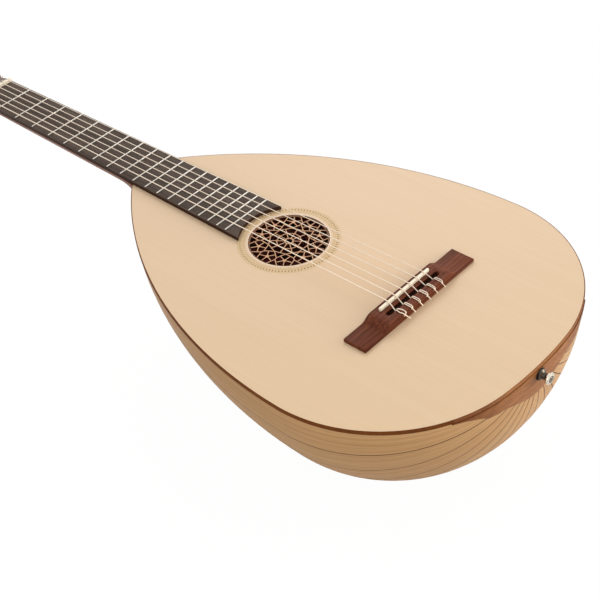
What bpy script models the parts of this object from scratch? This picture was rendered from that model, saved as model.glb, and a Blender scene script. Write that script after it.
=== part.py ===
"""A lute guitar lying on its back: a round bowl of bent ribs with a flat top, guitar neck and six strings.

Lengths below are in millimetres, measured from the saddle: x to the treble side, y to the head and z up
from the top face. The finished meshes are in metres, with the origin at the bottom centre of the whole.
"""

import math

import bmesh
import bpy
import numpy as np
from mathutils.geometry import delaunay_2d_cdt

# The scale and the neck
SCALE = 650.0
FRETS = 19
BODY_END = 364.8
NUT_HALF = 25.8
BOARD_TAPER = 0.01753
BOARD_THICK = 5.0
FRET_HIGH = 1.1
FRET_WIDE = 2.2
NECK_DEEP = 15.0
HEEL_DEEP = 33.5
HEEL_LONG = 31.2
NUT_LONG = 5.0
BOARD_END_R = 53.4

# The outline of the body: three arcs that meet smoothly, from the tail to the neck, met at JOIN_HALF
TAIL_Y = -160.0
TAIL_R = 432.5
TAIL_ANGLE = 0.114
SIDE_R = 157.3
SHOULDER_R = 512.5
JOIN_HALF = 33.2573

# The bowl
BOWL_DEEP = 0.90
EDGE_HIGH = 4.0
RIBS = 15
RIB_THICK = 2.2
RIB_INSET = 0.6
RIB_START = 22.0
GAP = 0.3

# The strip round the top's edge, the bars under the top and the blocks inside the bowl
EDGE_WIDE = 2.0
LEDGE_WIDE = 5.5
EDGE_ROUND = 0.5
BARS = (68.0, 222.0, 296.0)
BAR_HALF = 3.5
BAR_DEEP = 12.0
BAR_END_DEEP = 4.0
BAR_TAPER = 30.0
TAIL_BLOCK_FACE = 1.6
TAIL_BLOCK_LONG = 26.0
BLOCK_SHARE = 0.81

# The top, its hole and the rose
TOP_THICK = 2.5
HOLE_Y = 155.6
HOLE_R = 43.5
ROSE_R = 45.4
RING_IN = 46.9
RING_OUT = 55.0
RING_DEEP = 1.0
STRAND = 1.0
ROSE_FOLDS = 10
ROSE_TURN = math.radians(-4)
HUB_R = 3.5
RIM_R = 12.0
WHEEL_AT = 32.4
WHEEL_R = 6.3

# The bridge and the saddle
BRIDGE_HALF = 85.2
BRIDGE_FRONT = 6.1
BRIDGE_BACK = -21.3
WING_HIGH = 4.0
BLOCK_HIGH = 9.5
BLOCK_HALF = 45.8
RAMP_HALF = 58.8
SADDLE_HALF = 38.4
SADDLE_WIDE = 3.2
SADDLE_TOP = 12.8
TROUGH_HALF = 40.5
TROUGH_FRONT = -6.1
TROUGH_BACK = -12.6
HOLE_HIGH = 6.6

# The strings, from the bass side to the treble side
STRING_WIDE = (1.15, 1.05, 0.95, 1.05, 0.95, 0.85)
NUT_SPREAD = 8.6
SADDLE_SPREAD = 11.1
TIE_SPREAD = 11.8
STRING_SHIFT = 2.1
NUT_STRING = 7.2

# The head and the tuning machines, in the head's own tilted frame
HEAD_TILT = math.radians(15)
HEAD_Y = SCALE + NUT_LONG + 0.5
HEAD_HALF = 36.0
HEAD_LONG = 190.0
HEAD_THICK = 20.0
VENEER = 1.8
SLOT_IN = 8.5
SLOT_OUT = 23.5
SLOT_START = 25.0
SLOT_END = 140.0
ROLLERS = (52.0, 87.0, 122.0)
ROLLER_Z = -10.5
BARREL_R = 5.0
PEG_R = 2.4
TEETH = 14
PITCH = 2.1
WORM_R = 2.35
BUTTON_Z = -24.5
GEAR_R = TEETH * PITCH / (2 * math.pi)
GEAR_X = HEAD_HALF + 5.0
SPINDLE_R = 1.6
PLATE_OUT = HEAD_HALF + 1.6

for old in list(bpy.data.objects):
    bpy.data.objects.remove(old, do_unlink=True)

MADE = []


def material(name, colour, rough, metal=0.0):
    mat = bpy.data.materials.new(name)
    mat.use_nodes = True
    shader = mat.node_tree.nodes["Principled BSDF"]
    shader.inputs["Base Color"].default_value = (*colour, 1)
    shader.inputs["Roughness"].default_value = rough
    shader.inputs["Metallic"].default_value = metal
    return mat


def solid(name, verts, faces, look=None):
    """A mesh object from points in millimetres, with its faces turned outward."""
    mesh = bpy.data.meshes.new(name)
    mesh.from_pydata([tuple(c * 0.001 for c in v) for v in verts], [], faces)
    work = bmesh.new()
    work.from_mesh(mesh)
    bmesh.ops.recalc_face_normals(work, faces=work.faces)
    if work.calc_volume(signed=True) < 0:
        bmesh.ops.reverse_faces(work, faces=work.faces)
    work.to_mesh(mesh)
    work.free()
    obj = bpy.data.objects.new(name, mesh)
    bpy.context.scene.collection.objects.link(obj)
    if look:
        obj.data.materials.append(material(name, *look))
        MADE.append(obj)
    return obj


def combine(target, others, operation):
    """Cuts the others from the target or joins them to it, then drops them."""
    for other in others:
        mod = target.modifiers.new("shape", "BOOLEAN")
        mod.operation = operation
        mod.solver = "EXACT"
        mod.object = other
    graph = bpy.context.evaluated_depsgraph_get()
    mesh = bpy.data.meshes.new_from_object(target.evaluated_get(graph))
    target.modifiers.clear()
    target.data = mesh
    for other in others:
        bpy.data.objects.remove(other, do_unlink=True)
    return target


def loft(rings, cap=True):
    """Verts and faces of a tube through rings of the same count."""
    count = len(rings[0])
    verts = [p for ring in rings for p in ring]
    faces = []
    for k in range(len(rings) - 1):
        for i in range(count):
            j = (i + 1) % count
            low, high = k * count, (k + 1) * count
            faces.append((low + i, low + j, high + j, high + i))
    if cap:
        faces.append(tuple(range(count))[::-1])
        faces.append(tuple(range(len(verts) - count, len(verts))))
    return verts, faces


def prism(outline, low, high, place=lambda p: p):
    """A flat outline of (x, y) points pulled up from low to high."""
    rings = [[place((x, y, z)) for x, y in outline] for z in (low, high)]
    return loft(rings)


def box(x0, x1, y0, y1, z0, z1, place=lambda p: p):
    return prism([(x0, y0), (x1, y0), (x1, y1), (x0, y1)], z0, z1, place)


def together(parts):
    verts, faces = [], []
    for v, f in parts:
        faces += [tuple(i + len(verts) for i in face) for face in f]
        verts += v
    return verts, faces


def circle(x, y, r, sides, start=0.0):
    turn = [start + 2 * math.pi * k / sides for k in range(sides)]
    return [(x + r * math.cos(a), y + r * math.sin(a)) for a in turn]


def lathe(profile, sides, place):
    """A turned shape: profile is (radius, height) from one flat end to the other."""
    rings = []
    for r, h in profile:
        rings.append([place((x, y, h)) for x, y in circle(0, 0, r, sides)])
    return loft(rings)


def sweep(path, r, sides):
    """A round cord along a path."""
    path = np.array(path, float)
    step = np.diff(path, axis=0)
    step /= np.linalg.norm(step, axis=1)[:, None]
    along = np.vstack([step[:1], step[:-1] + step[1:], step[-1:]])
    along /= np.linalg.norm(along, axis=1)[:, None]
    side = np.cross(along[0], (0.3, 0.1, 0.9))
    side /= np.linalg.norm(side)
    rings = []
    for k, at in enumerate(path):
        side = side - along[k] * (side @ along[k])
        side /= np.linalg.norm(side)
        other = np.cross(along[k], side)
        turn = [2 * math.pi * i / sides for i in range(sides)]
        rings.append([tuple(at + r * (math.cos(a) * side + math.sin(a) * other)) for a in turn])
    return loft(rings)


# Outline centres, each found from the arc before it
TAIL_C = np.array([TAIL_Y + TAIL_R, 0.0])
SIDE_C = TAIL_C + (TAIL_R - SIDE_R) * np.array([-math.cos(TAIL_ANGLE), math.sin(TAIL_ANGLE)])


def shoulder_start():
    """The angle where the shoulder arc leaves the side arc, so that it meets the neck at JOIN_HALF."""
    grow = SHOULDER_R - SIDE_R
    along, out = BODY_END - SIDE_C[0], JOIN_HALF - SIDE_C[1]
    away = math.hypot(along, out)
    share = (SHOULDER_R**2 - grow**2 - away**2) / (2 * grow * away)
    return math.acos(-share) - math.atan2(out, along)


SIDE_ANGLE = shoulder_start()
SHOULDER_C = SIDE_C + (SIDE_R - SHOULDER_R) * np.array([-math.cos(SIDE_ANGLE), math.sin(SIDE_ANGLE)])


def edge_at(angle, inset):
    """(y, half width) of the outline, inset inward, at this angle round its arc's centre."""
    if angle <= TAIL_ANGLE:
        centre, r = TAIL_C, TAIL_R
    elif angle <= SIDE_ANGLE:
        centre, r = SIDE_C, SIDE_R
    else:
        centre, r = SHOULDER_C, SHOULDER_R
    r -= inset
    return centre[0] - r * math.cos(angle), centre[1] + r * math.sin(angle)


def end_angle(inset, y):
    """Where the inset shoulder arc reaches this y."""
    return math.acos(-(y - SHOULDER_C[0]) / (SHOULDER_R - inset))


def stations(inset, start, end_y, tail=2, side=20, shoulder=9):
    """(y, half width) points of the inset outline from the tail to the neck."""
    last = end_angle(inset, end_y)
    angles = list(np.linspace(start, TAIL_ANGLE, tail))
    angles += list(np.linspace(TAIL_ANGLE, SIDE_ANGLE, side + 1)[1:])
    angles += list(np.linspace(SIDE_ANGLE, last, shoulder + 1)[1:])
    return [edge_at(a, inset) for a in angles]


def half_width(y, inset):
    """Half width of the inset outline at this y."""
    low, high = 0.0, end_angle(inset, BODY_END)
    for _ in range(50):
        mid = (low + high) / 2
        if edge_at(mid, inset)[0] < y:
            low = mid
        else:
            high = mid
    return edge_at(low, inset)[1]


def tail_y(half, inset):
    """y of the inset tail at this distance from the centre line."""
    if half <= (TAIL_R - inset) * math.sin(TAIL_ANGLE):
        return TAIL_C[0] - math.sqrt((TAIL_R - inset) ** 2 - half**2)
    return SIDE_C[0] - math.sqrt((SIDE_R - inset) ** 2 - (half - SIDE_C[1]) ** 2)


END_Y = BODY_END - GAP
RIB_TOP = -EDGE_HIGH - GAP


# The ribs: bent strips side by side round the bowl, with a thin seam between two
def rib(number):
    start = math.asin(RIB_START / TAIL_R)
    outer = stations(RIB_INSET, start, END_Y)
    inner = stations(RIB_INSET + RIB_THICK, start, END_Y)
    low, high = math.pi * number / RIBS, math.pi * (number + 1) / RIBS

    def at(station, angle, shift):
        y, w = station
        rate = math.hypot(w * math.sin(angle), BOWL_DEEP * w * math.cos(angle))
        angle += shift / rate
        return (-w * math.cos(angle), y, RIB_TOP - BOWL_DEEP * w * math.sin(angle))

    first = 0.0 if number == 0 else GAP / 2
    last = 0.0 if number == RIBS - 1 else -GAP / 2
    rings = []
    for out, inn in zip(outer, inner):
        rings.append([at(out, low, first), at(out, high, last), at(inn, high, last), at(inn, low, first)])
    return loft(rings)


RIB_LOOK = ((0.50, 0.34, 0.20), 0.35)
for number in range(RIBS):
    verts, faces = rib(number)
    solid(f"rib_{number + 1:02d}", verts, faces, RIB_LOOK)


# The edge strip: a thin wall round the top with a ledge that the top rests on
def edge_ring(profile, end_y):
    rings = []
    half = {n: stations(n, 0.0, end_y, 3, 18, 10) for n in {p[0] for p in profile}}
    count = len(half[profile[0][0]])
    for k in range(count - 1, 0, -1):
        rings.append([(-half[n][k][1], half[n][k][0], z) for n, z in profile])
    for k in range(count):
        rings.append([(half[n][k][1], half[n][k][0], z) for n, z in profile])
    return loft(rings)


LEDGE = -TOP_THICK - GAP
edge_profile = [(0.0, -EDGE_HIGH), (0.0, -EDGE_ROUND), (EDGE_ROUND, 0.0), (EDGE_WIDE, 0.0)]
edge_profile += [(EDGE_WIDE, LEDGE), (LEDGE_WIDE, LEDGE), (LEDGE_WIDE, -EDGE_HIGH)]
solid("edge_binding", *edge_ring(edge_profile, END_Y), ((0.20, 0.09, 0.05), 0.3))

# The top: a thin board with its hole, a step below for the rose and a channel for the ring
edge = stations(EDGE_WIDE + GAP, 0.0, END_Y, 3, 18, 10)
plan = [(w, y) for y, w in edge] + [(-w, y) for y, w in edge[:0:-1]]
top = solid("soundboard", *prism(plan, -TOP_THICK, 0.0), ((0.80, 0.62, 0.42), 0.4))
cut_hole = solid("cut_hole", *prism(circle(0, HOLE_Y, HOLE_R, 56), -5, 5))
cut_step = solid("cut_step", *prism(circle(0, HOLE_Y, ROSE_R + GAP, 56), -5, -RING_DEEP))
ring_in = circle(0, HOLE_Y, RING_IN - GAP, 56)
ring_out = circle(0, HOLE_Y, RING_OUT + GAP, 56)


def ring_solid(inner, outer, low, high):
    """A flat ring between two outlines of the same count."""
    n = len(inner)
    verts = [(x, y, z) for z in (low, high) for line in (inner, outer) for x, y in line]
    faces = []
    for i in range(n):
        j = (i + 1) % n
        faces.append((i, j, n + j, n + i))
        faces.append((2 * n + i, 3 * n + i, 3 * n + j, 2 * n + j))
        faces.append((i, 2 * n + i, 2 * n + j, j))
        faces.append((n + i, n + j, 3 * n + j, 3 * n + i))
    return verts, faces


cut_ring = solid("cut_ring", *ring_solid(ring_in, ring_out, -RING_DEEP - GAP, 5))
combine(top, [cut_hole, cut_step, cut_ring], "DIFFERENCE")
ring_in = circle(0, HOLE_Y, RING_IN, 56)
ring_out = circle(0, HOLE_Y, RING_OUT, 56)
solid("rosette_ring", *ring_solid(ring_in, ring_out, -RING_DEEP, 0.0), ((0.62, 0.42, 0.22), 0.4))


# The rose: a pierced disc of crossing strands, laid out flat and then given its thickness
def band(points, wide):
    """Four-sided pieces of a strand along these points."""
    pts = [np.array(p, float) for p in points]
    pieces = []
    for a, b in zip(pts, pts[1:]):
        along = (b - a) / np.linalg.norm(b - a)
        side = np.array([-along[1], along[0]]) * wide / 2
        pieces.append([a - side, b - side, b + side, a + side])
    return pieces


def ring_band(x, y, inner, outer, sides, start=0.0):
    a = circle(x, y, inner, sides, start)
    b = circle(x, y, outer, sides, start)
    return [[a[i], b[i], b[(i + 1) % sides], a[(i + 1) % sides]] for i in range(sides)]


def polar(r, turn):
    return (r * math.cos(turn), r * math.sin(turn))


def rose_pieces():
    pieces = ring_band(0, 0, HOLE_R - 1.0, ROSE_R, 50)
    pieces += ring_band(0, 0, HUB_R, HUB_R + STRAND, 10)
    pieces += ring_band(0, 0, RIM_R, RIM_R + STRAND, 20, ROSE_TURN)
    step = 2 * math.pi / ROSE_FOLDS
    for k in range(ROSE_FOLDS):
        turn = ROSE_TURN + k * step
        cx, cy = polar(WHEEL_AT, turn)
        pieces += ring_band(cx, cy, WHEEL_R, WHEEL_R + STRAND, 10, turn)
        for spoke in range(5):
            ex, ey = polar(WHEEL_R + 0.4, turn + 2 * spoke * step)
            pieces += band([(cx, cy), (cx + ex, cy + ey)], STRAND)
        middle = np.array(polar(20.8, turn))
        reach = np.array(polar(36.9, turn + math.pi / 2))
        pieces += band([middle - reach, middle + reach], STRAND)
        between = turn + step / 2
        if k % 2:
            pieces += band([polar(HUB_R + 0.7, between), polar(RIM_R + 0.4, between)], STRAND)
        pieces += band([polar(RIM_R + 0.6, between), polar(21.6, between)], STRAND)
        pieces += band([polar(WHEEL_AT + WHEEL_R + 0.7, turn), polar(HOLE_R - 0.5, turn)], STRAND)
    return pieces


def flat_solid(pieces, low, high, at):
    """The union of flat pieces, given a thickness."""
    verts, faces = [], []
    for piece in pieces:
        faces.append(tuple(range(len(verts), len(verts) + len(piece))))
        verts += [tuple(float(c) for c in p) for p in piece]
    points, _, cells, _, _, source = delaunay_2d_cdt(verts, [], faces, 0, 1e-4)
    cells = [tuple(c) for c, s in zip(cells, source) if s]
    used = sorted({i for c in cells for i in c})
    index = {i: k for k, i in enumerate(used)}
    flat = [(points[i][0] + at[0], points[i][1] + at[1]) for i in used]
    cells = [tuple(index[i] for i in c) for c in cells]
    n = len(flat)
    edges = {}
    for c in cells:
        for i, j in zip(c, c[1:] + c[:1]):
            edges[(i, j)] = edges.get((i, j), 0) + 1
    out = [(i, j) for (i, j) in edges if (j, i) not in edges]
    solid_verts = [(x, y, high) for x, y in flat] + [(x, y, low) for x, y in flat]
    solid_faces = list(cells)
    solid_faces += [tuple(i + n for i in c[::-1]) for c in cells]
    solid_faces += [(j, i, i + n, j + n) for i, j in out]
    return solid_verts, solid_faces


rose_mesh = flat_solid(rose_pieces(), -TOP_THICK + 0.1, -RING_DEEP - GAP, (0, HOLE_Y))
solid("rose", *rose_mesh, ((0.55, 0.36, 0.24), 0.5))

# Bars glued under the top
for number, y in enumerate(BARS):
    reach = min(half_width(y + shift, LEDGE_WIDE + GAP) for shift in (-BAR_HALF, BAR_HALF)) - GAP
    half = [(reach, LEDGE), (reach, LEDGE - BAR_END_DEEP), (reach - BAR_TAPER, LEDGE - BAR_DEEP)]
    shape = half + [(-x, z) for x, z in half[::-1]]
    verts, faces = prism(shape, y - BAR_HALF, y + BAR_HALF, lambda p: (p[0], p[2], p[1]))
    solid(f"top_bar_{number + 1}", verts, faces, ((0.70, 0.53, 0.34), 0.6))


# The blocks inside the bowl at the tail and at the neck
def half_turned(profile, sides):
    """A profile of (half width, y) turned half round under the top's edge."""
    verts, faces, rings = [], [], []
    for w, y in profile:
        if w < 1e-6:
            rings.append([len(verts)])
            verts.append((0.0, y, RIB_TOP))
            continue
        ring = []
        for k in range(sides + 1):
            a = math.pi * k / sides
            ring.append(len(verts))
            verts.append((-w * math.cos(a), y, RIB_TOP - BOWL_DEEP * w * math.sin(a)))
        rings.append(ring)
    for a, b in zip(rings, rings[1:]):
        for k in range(sides):
            if len(a) == 1:
                faces.append((a[0], b[k + 1], b[k]))
            elif len(b) == 1:
                faces.append((a[k], a[k + 1], b[0]))
            else:
                faces.append((a[k], a[k + 1], b[k + 1], b[k]))
    first = [r[0] for r in rings]
    last = [r[-1] for r in rings]
    lid = first + last[-2:0:-1] if len(rings[0]) == 1 else first + last[::-1]
    faces.append(tuple(lid))
    return verts, faces


inside = RIB_INSET + RIB_THICK + GAP
line = stations(inside, math.asin(RIB_START / TAIL_R), END_Y)
(tail_0, wide_0), (tail_1, wide_1), (tail_2, wide_2) = line[:3]
part_way = tail_1 + (tail_2 - tail_1) * BLOCK_SHARE
part_wide = wide_1 + (wide_2 - wide_1) * BLOCK_SHARE
face, back = TAIL_Y + TAIL_BLOCK_FACE, TAIL_Y + TAIL_BLOCK_LONG
core = RIB_START - 0.7
plug = [(0.0, face), (core, face), (core, tail_0), (wide_0, tail_0), (wide_1, tail_1)]
plug += [(part_wide, part_way), (part_wide, back), (0.0, back)]
WOOD_BLOCK = ((0.45, 0.28, 0.15), 0.6)
tail = solid("tail_block", *half_turned(plug, RIBS), WOOD_BLOCK)
rings = []
neck_0, neck_1 = np.array(line[-2]), np.array(line[-1])
for share in (BLOCK_SHARE, 0.0):
    y, w = neck_1 + (neck_0 - neck_1) * share
    turns = np.linspace(0, math.pi, RIBS + 1)
    rings.append([(-w * math.cos(a), y, RIB_TOP - BOWL_DEEP * w * math.sin(a)) for a in turns])
solid("neck_block", *loft(rings), WOOD_BLOCK)

# The clasp over the rib ends at the tail, wide in the middle and stepped at its ends
CLASP_THICK = 1.2
clasp_half = [0.0, 10.0, 20.0, 30.0, 40.0, 50.0, 60.0, 69.0, 75.0, 80.0, 86.0, 93.0, 100.0, 106.0]
clasp_low = [-34.3, -33.2, -30.5, -26.3, -22.8, -19.4, -18.6, -17.2, -13.4, -11.0, -8.8, -6.8, -5.4, -4.8]


def clasp_rows():
    xs = [-x for x in clasp_half[:0:-1]] + clasp_half
    lows = clasp_low[:0:-1] + clasp_low
    rows = []
    for x, low in zip(xs, lows):
        face = []
        for step in range(5):
            z = RIB_TOP + (low - RIB_TOP) * step / 4
            face.append((x, z))
        rows.append(face)
    return rows


def on_bowl(x, z, inset):
    """The bowl's surface at this width and height near the tail, moved out along its normal."""
    def y_at(px, pz):
        return tail_y(math.hypot(px, (RIB_TOP - pz) / BOWL_DEEP), 0.0)
    y = y_at(x, z)
    dx = (y_at(x + 0.1, z) - y_at(x - 0.1, z)) / 0.2
    dz = (y_at(x, z) - y_at(x, z - 0.1)) / 0.1
    n = np.array([dx, -1.0, dz])
    n /= np.linalg.norm(n)
    return tuple(np.array([x, y, z]) - n * inset)


def clasp_shape():
    rows = clasp_rows()
    across = len(rows[0])
    verts = [on_bowl(x, z, RIB_INSET - GAP) for row in rows for x, z in row]
    count = len(verts)
    verts += [on_bowl(x, z, RIB_INSET - GAP - CLASP_THICK) for row in rows for x, z in row]
    for k in list(range(0, count, across)) + list(range(count, 2 * count, across)):
        verts[k] = (verts[k][0], verts[k][1], RIB_TOP)
    faces = []
    for i in range(len(rows) - 1):
        for j in range(across - 1):
            a, b = i * across + j, (i + 1) * across + j
            faces.append((a, a + 1, b + 1, b))
            faces.append((count + a, count + b, count + b + 1, count + a + 1))
        a, b = i * across, (i + 1) * across
        faces.append((a, b, count + b, count + a))
        a, b = a + across - 1, b + across - 1
        faces.append((a, count + a, count + b, b))
    for j in range(across - 1):
        faces.append((j, count + j, count + j + 1, j + 1))
        a = (len(rows) - 1) * across + j
        faces.append((a, a + 1, count + a + 1, count + a))
    return verts, faces


clasp = solid("end_clasp", *clasp_shape(), ((0.30, 0.14, 0.07), 0.35))

# The strap pin at the tail, screwed through the clasp into the block
PIN_Z = -10.5
PIN_FACE = TAIL_Y - 0.9 - GAP
PIN_R = 2.4
PIN_DEEP = 19.0
PIN_LONG = 12.2
WASHER_R = 6.6


def pin_place(p):
    return (p[0], PIN_FACE - p[2], PIN_Z + p[1])


pin = [(PIN_R, -PIN_DEEP), (PIN_R, 0.6), (6.0, 0.6), (6.0, 2.0), (5.2, 2.8), (3.6, 3.8), (3.3, 6.4)]
pin += [(4.2, 8.0), (6.2, 9.2), (6.6, 10.4), (6.0, 11.6), (4.6, PIN_LONG)]
solid("strap_pin", *lathe(pin, 20, pin_place), ((0.62, 0.60, 0.56), 0.2, 1.0))
washer = ring_solid(circle(0, 0, PIN_R + 0.4, 20), circle(0, 0, WASHER_R, 20), -0.1, 0.35)
solid("pin_washer", [pin_place(p) for p in washer[0]], washer[1], ((0.02, 0.02, 0.02), 0.6))


def pin_bore():
    return solid("cut_bore", *lathe([(PIN_R + 0.35, -PIN_DEEP - 0.5), (PIN_R + 0.35, 8.0)], 20, pin_place))


seat = solid("cut_seat", *lathe([(WASHER_R + GAP, -0.35), (WASHER_R + GAP, 8.0)], 24, pin_place))
combine(clasp, [pin_bore(), seat], "DIFFERENCE")
combine(tail, [pin_bore()], "DIFFERENCE")


# The fingerboard with its frets
def board_half(y):
    return NUT_HALF + (SCALE - y) * BOARD_TAPER


end_half = board_half(HOLE_Y)
for _ in range(8):
    end_half = board_half(HOLE_Y + math.sqrt(BOARD_END_R**2 - end_half**2))
end_turn = math.asin(end_half / BOARD_END_R)
board = [(NUT_HALF, SCALE - GAP), (-NUT_HALF, SCALE - GAP)]
for a in np.linspace(-end_turn, end_turn, 13):
    board.append((BOARD_END_R * math.sin(a), HOLE_Y + BOARD_END_R * math.cos(a)))
BOARD_TOP = GAP + BOARD_THICK
fingerboard = solid("fingerboard", *prism(board, GAP, BOARD_TOP), ((0.09, 0.065, 0.055), 0.4))
pieces = []
for number in range(1, FRETS + 1):
    y = SCALE * 2 ** (-number / 12)
    reach = board_half(y) - 0.6
    wide = FRET_WIDE / 2
    crown = [(0.4, -1.5), (0.4, -0.1), (wide, 0.3), (0.45, FRET_HIGH)]
    crown += [(-a, b) for a, b in crown[::-1]]
    pieces.append(loft([[(x, y + a, BOARD_TOP + b) for a, b in crown] for x in (-reach, reach)]))
combine(fingerboard, [solid("frets", *together(pieces))], "UNION")

# The nut, with a slot for each string
places = [k - (len(STRING_WIDE) - 1) / 2 for k in range(len(STRING_WIDE))]
NUT_TOP = 8.3
nut_box = box(-NUT_HALF, NUT_HALF, SCALE, SCALE + NUT_LONG, GAP, NUT_TOP)
nut = solid("nut", *nut_box, ((0.80, 0.74, 0.60), 0.35))
slots = []
for k, wide in zip(places, STRING_WIDE):
    x, reach = k * NUT_SPREAD, wide / 2 + 0.25
    slot = box(x - reach, x + reach, SCALE - 1, SCALE + NUT_LONG + 1, NUT_STRING - 0.2, NUT_TOP + 2)
    slots.append(slot)
combine(nut, [solid("cut_slots", *together(slots))], "DIFFERENCE")

# The bridge: low wings, curved ramps and a high middle with a saddle slot, a trough and six string holes
side_view = [(BRIDGE_HALF, GAP), (BRIDGE_HALF, WING_HIGH - 0.6), (BRIDGE_HALF - 0.8, WING_HIGH)]
for t in np.linspace(0, 1, 7):
    x = RAMP_HALF + (BLOCK_HALF - RAMP_HALF) * t
    rise = (1 - math.cos(math.pi * t)) / 2
    side_view.append((x, WING_HIGH + (BLOCK_HIGH - WING_HIGH) * rise))
side_view += [(-x, z) for x, z in side_view[::-1]]
verts, faces = prism(side_view, BRIDGE_BACK, BRIDGE_FRONT, lambda p: (p[0], p[2], p[1]))
bridge = solid("bridge", verts, faces, ((0.16, 0.07, 0.04), 0.4))
SLOT_HALF = SADDLE_HALF + GAP
SLOT_WIDE = SADDLE_WIDE + 2 * GAP
SLOT_FLOOR = 4.5


def stadium(x0, x1, y0, y1, sides=6):
    """A slot outline with round ends."""
    r = (y1 - y0) / 2
    mid = (y0 + y1) / 2
    turns = np.linspace(-math.pi / 2, math.pi / 2, sides + 1)
    right = [(x1 - r + r * math.cos(a), mid + r * math.sin(a)) for a in turns]
    return right + [(x0 + x1 - x, y0 + y1 - y) for x, y in right]


saddle_cut = prism(stadium(-SLOT_HALF, SLOT_HALF, -SLOT_WIDE / 2, SLOT_WIDE / 2, 4), SLOT_FLOOR, 20)
trough_ends = (STRING_SHIFT - TROUGH_HALF, STRING_SHIFT + TROUGH_HALF)
trough_cut = prism(stadium(*trough_ends, TROUGH_BACK, TROUGH_FRONT), SLOT_FLOOR + GAP, 20)
holes = []
for k in places:
    x = k * TIE_SPREAD + STRING_SHIFT
    outline = circle(x, HOLE_HIGH, 1.0, 8, math.pi / 8)
    holes.append(prism(outline, BRIDGE_BACK - 2, TROUGH_BACK + 0.5, lambda p: (p[0], p[2], p[1])))
combine(bridge, [solid("cut_saddle", *saddle_cut), solid("cut_trough", *trough_cut)], "DIFFERENCE")
combine(bridge, [solid("cut_holes", *together(holes))], "DIFFERENCE")

saddle_plan = stadium(-SADDLE_HALF, SADDLE_HALF, -SADDLE_WIDE / 2, SADDLE_WIDE / 2, 4)
saddle = solid("saddle", *prism(saddle_plan, SLOT_FLOOR + GAP, SADDLE_TOP), ((0.83, 0.77, 0.62), 0.3))
work = bmesh.new()
work.from_mesh(saddle.data)
rim = [e for e in work.edges if all(abs(v.co.z - SADDLE_TOP / 1000) < 1e-6 for v in e.verts)]
bmesh.ops.bevel(work, geom=rim, offset=0.0008, segments=1, profile=0.5, affect="EDGES")
work.to_mesh(saddle.data)
work.free()


# The neck: rounded behind, growing deeper into the heel, with a tilted slotted head
def head(p):
    """A point of the head's tilted frame in the main frame."""
    x, y, z = p
    c, s = math.cos(HEAD_TILT), math.sin(HEAD_TILT)
    return (x, HEAD_Y + y * c + z * s, -y * s + z * c)


HEEL_END = BODY_END + HEEL_LONG
FLARE_LONG = 25.0
neck_at = [BODY_END + y for y in (GAP, 3.2, 7.2, 12.2, 18.2, 25.2, 33.2, 65.2)]
neck_at += [SCALE - FLARE_LONG, SCALE - 10.0, SCALE, HEAD_Y - 0.3, HEAD_Y, HEAD_Y + 4.5]
heel_wide = half_width(BODY_END - 0.5, RIB_INSET)
neck_rings = []
for y in neck_at:
    t = max(0.0, (HEEL_END - y) / HEEL_LONG)
    flare = min(1.0, max(0.0, (y - SCALE + FLARE_LONG) / FLARE_LONG))
    deep = NECK_DEEP + 2.5 * min(1.0, max(0.0, (SCALE - y) / 250.0))
    deep += (HEEL_DEEP - deep) * t**2.4 + 3.0 * flare**1.5
    wide = board_half(y) - 0.3
    wide += (heel_wide - wide) * t**3
    roof = 0.0 if y < HEAD_Y - 0.2 else -5.0
    power = 1.1 - 0.1 * t
    ring = []
    for a in np.linspace(0, math.pi, 13):
        drop = math.sin(a) ** power if 0 < a < math.pi else 0.0
        ring.append((-wide * math.cos(a), y, roof - (deep + roof) * drop))
    neck_rings.append(ring)
neck = solid("neck", *loft(neck_rings), ((0.28, 0.12, 0.06), 0.4))

head_plan = [(NUT_HALF + 0.5, 0.3), (NUT_HALF + 1.7, 6.0), (HEAD_HALF - 5.0, 14.0), (HEAD_HALF - 1.0, 21.0)]
head_plan += [(HEAD_HALF, 27.0), (HEAD_HALF, HEAD_LONG - 40.0), (HEAD_HALF - 1.0, HEAD_LONG - 20.0)]
head_plan += [(HEAD_HALF - 3.5, HEAD_LONG - 8.0), (HEAD_HALF - 9.0, HEAD_LONG - 3.5)]
head_plan += [(13.0, HEAD_LONG - 2.0), (5.0, HEAD_LONG)]
head_plan += [(-x, y) for x, y in head_plan[::-1]]
slab_plan = [(x, y if y > 1 else 0.0) for x, y in head_plan]
slab = solid("slab", *prism(slab_plan, -HEAD_THICK, -VENEER - GAP, head))
combine(neck, [slab], "UNION")
veneer = solid("head_veneer", *prism(head_plan, -VENEER, 0.0, head), ((0.12, 0.05, 0.03), 0.35))


def slot_cutters():
    parts = []
    for side in (-1, 1):
        line = [(side * x, y) for y, x in stadium(SLOT_START, SLOT_END, SLOT_IN, SLOT_OUT, 5)]
        parts.append(prism(line, -HEAD_THICK - 5, 5, head))
    return together(parts)


def bore_cutters():
    parts = []
    for side in (-1, 1):
        for y in ROLLERS:
            def place(p, side=side, y=y):
                return head((side * p[2], y + p[0], ROLLER_Z + p[1]))
            parts.append(lathe([(BARREL_R + GAP, SLOT_OUT - 1), (BARREL_R + GAP, HEAD_HALF + 3)], 14, place))
            parts.append(lathe([(PEG_R + GAP, 4.6), (PEG_R + GAP, SLOT_IN + 1)], 10, place))
    return together(parts)


combine(neck, [solid("cut_head", *slot_cutters())], "DIFFERENCE")
combine(veneer, [solid("cut_head", *slot_cutters())], "DIFFERENCE")
combine(neck, [solid("cut_bores", *bore_cutters())], "DIFFERENCE")


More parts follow.
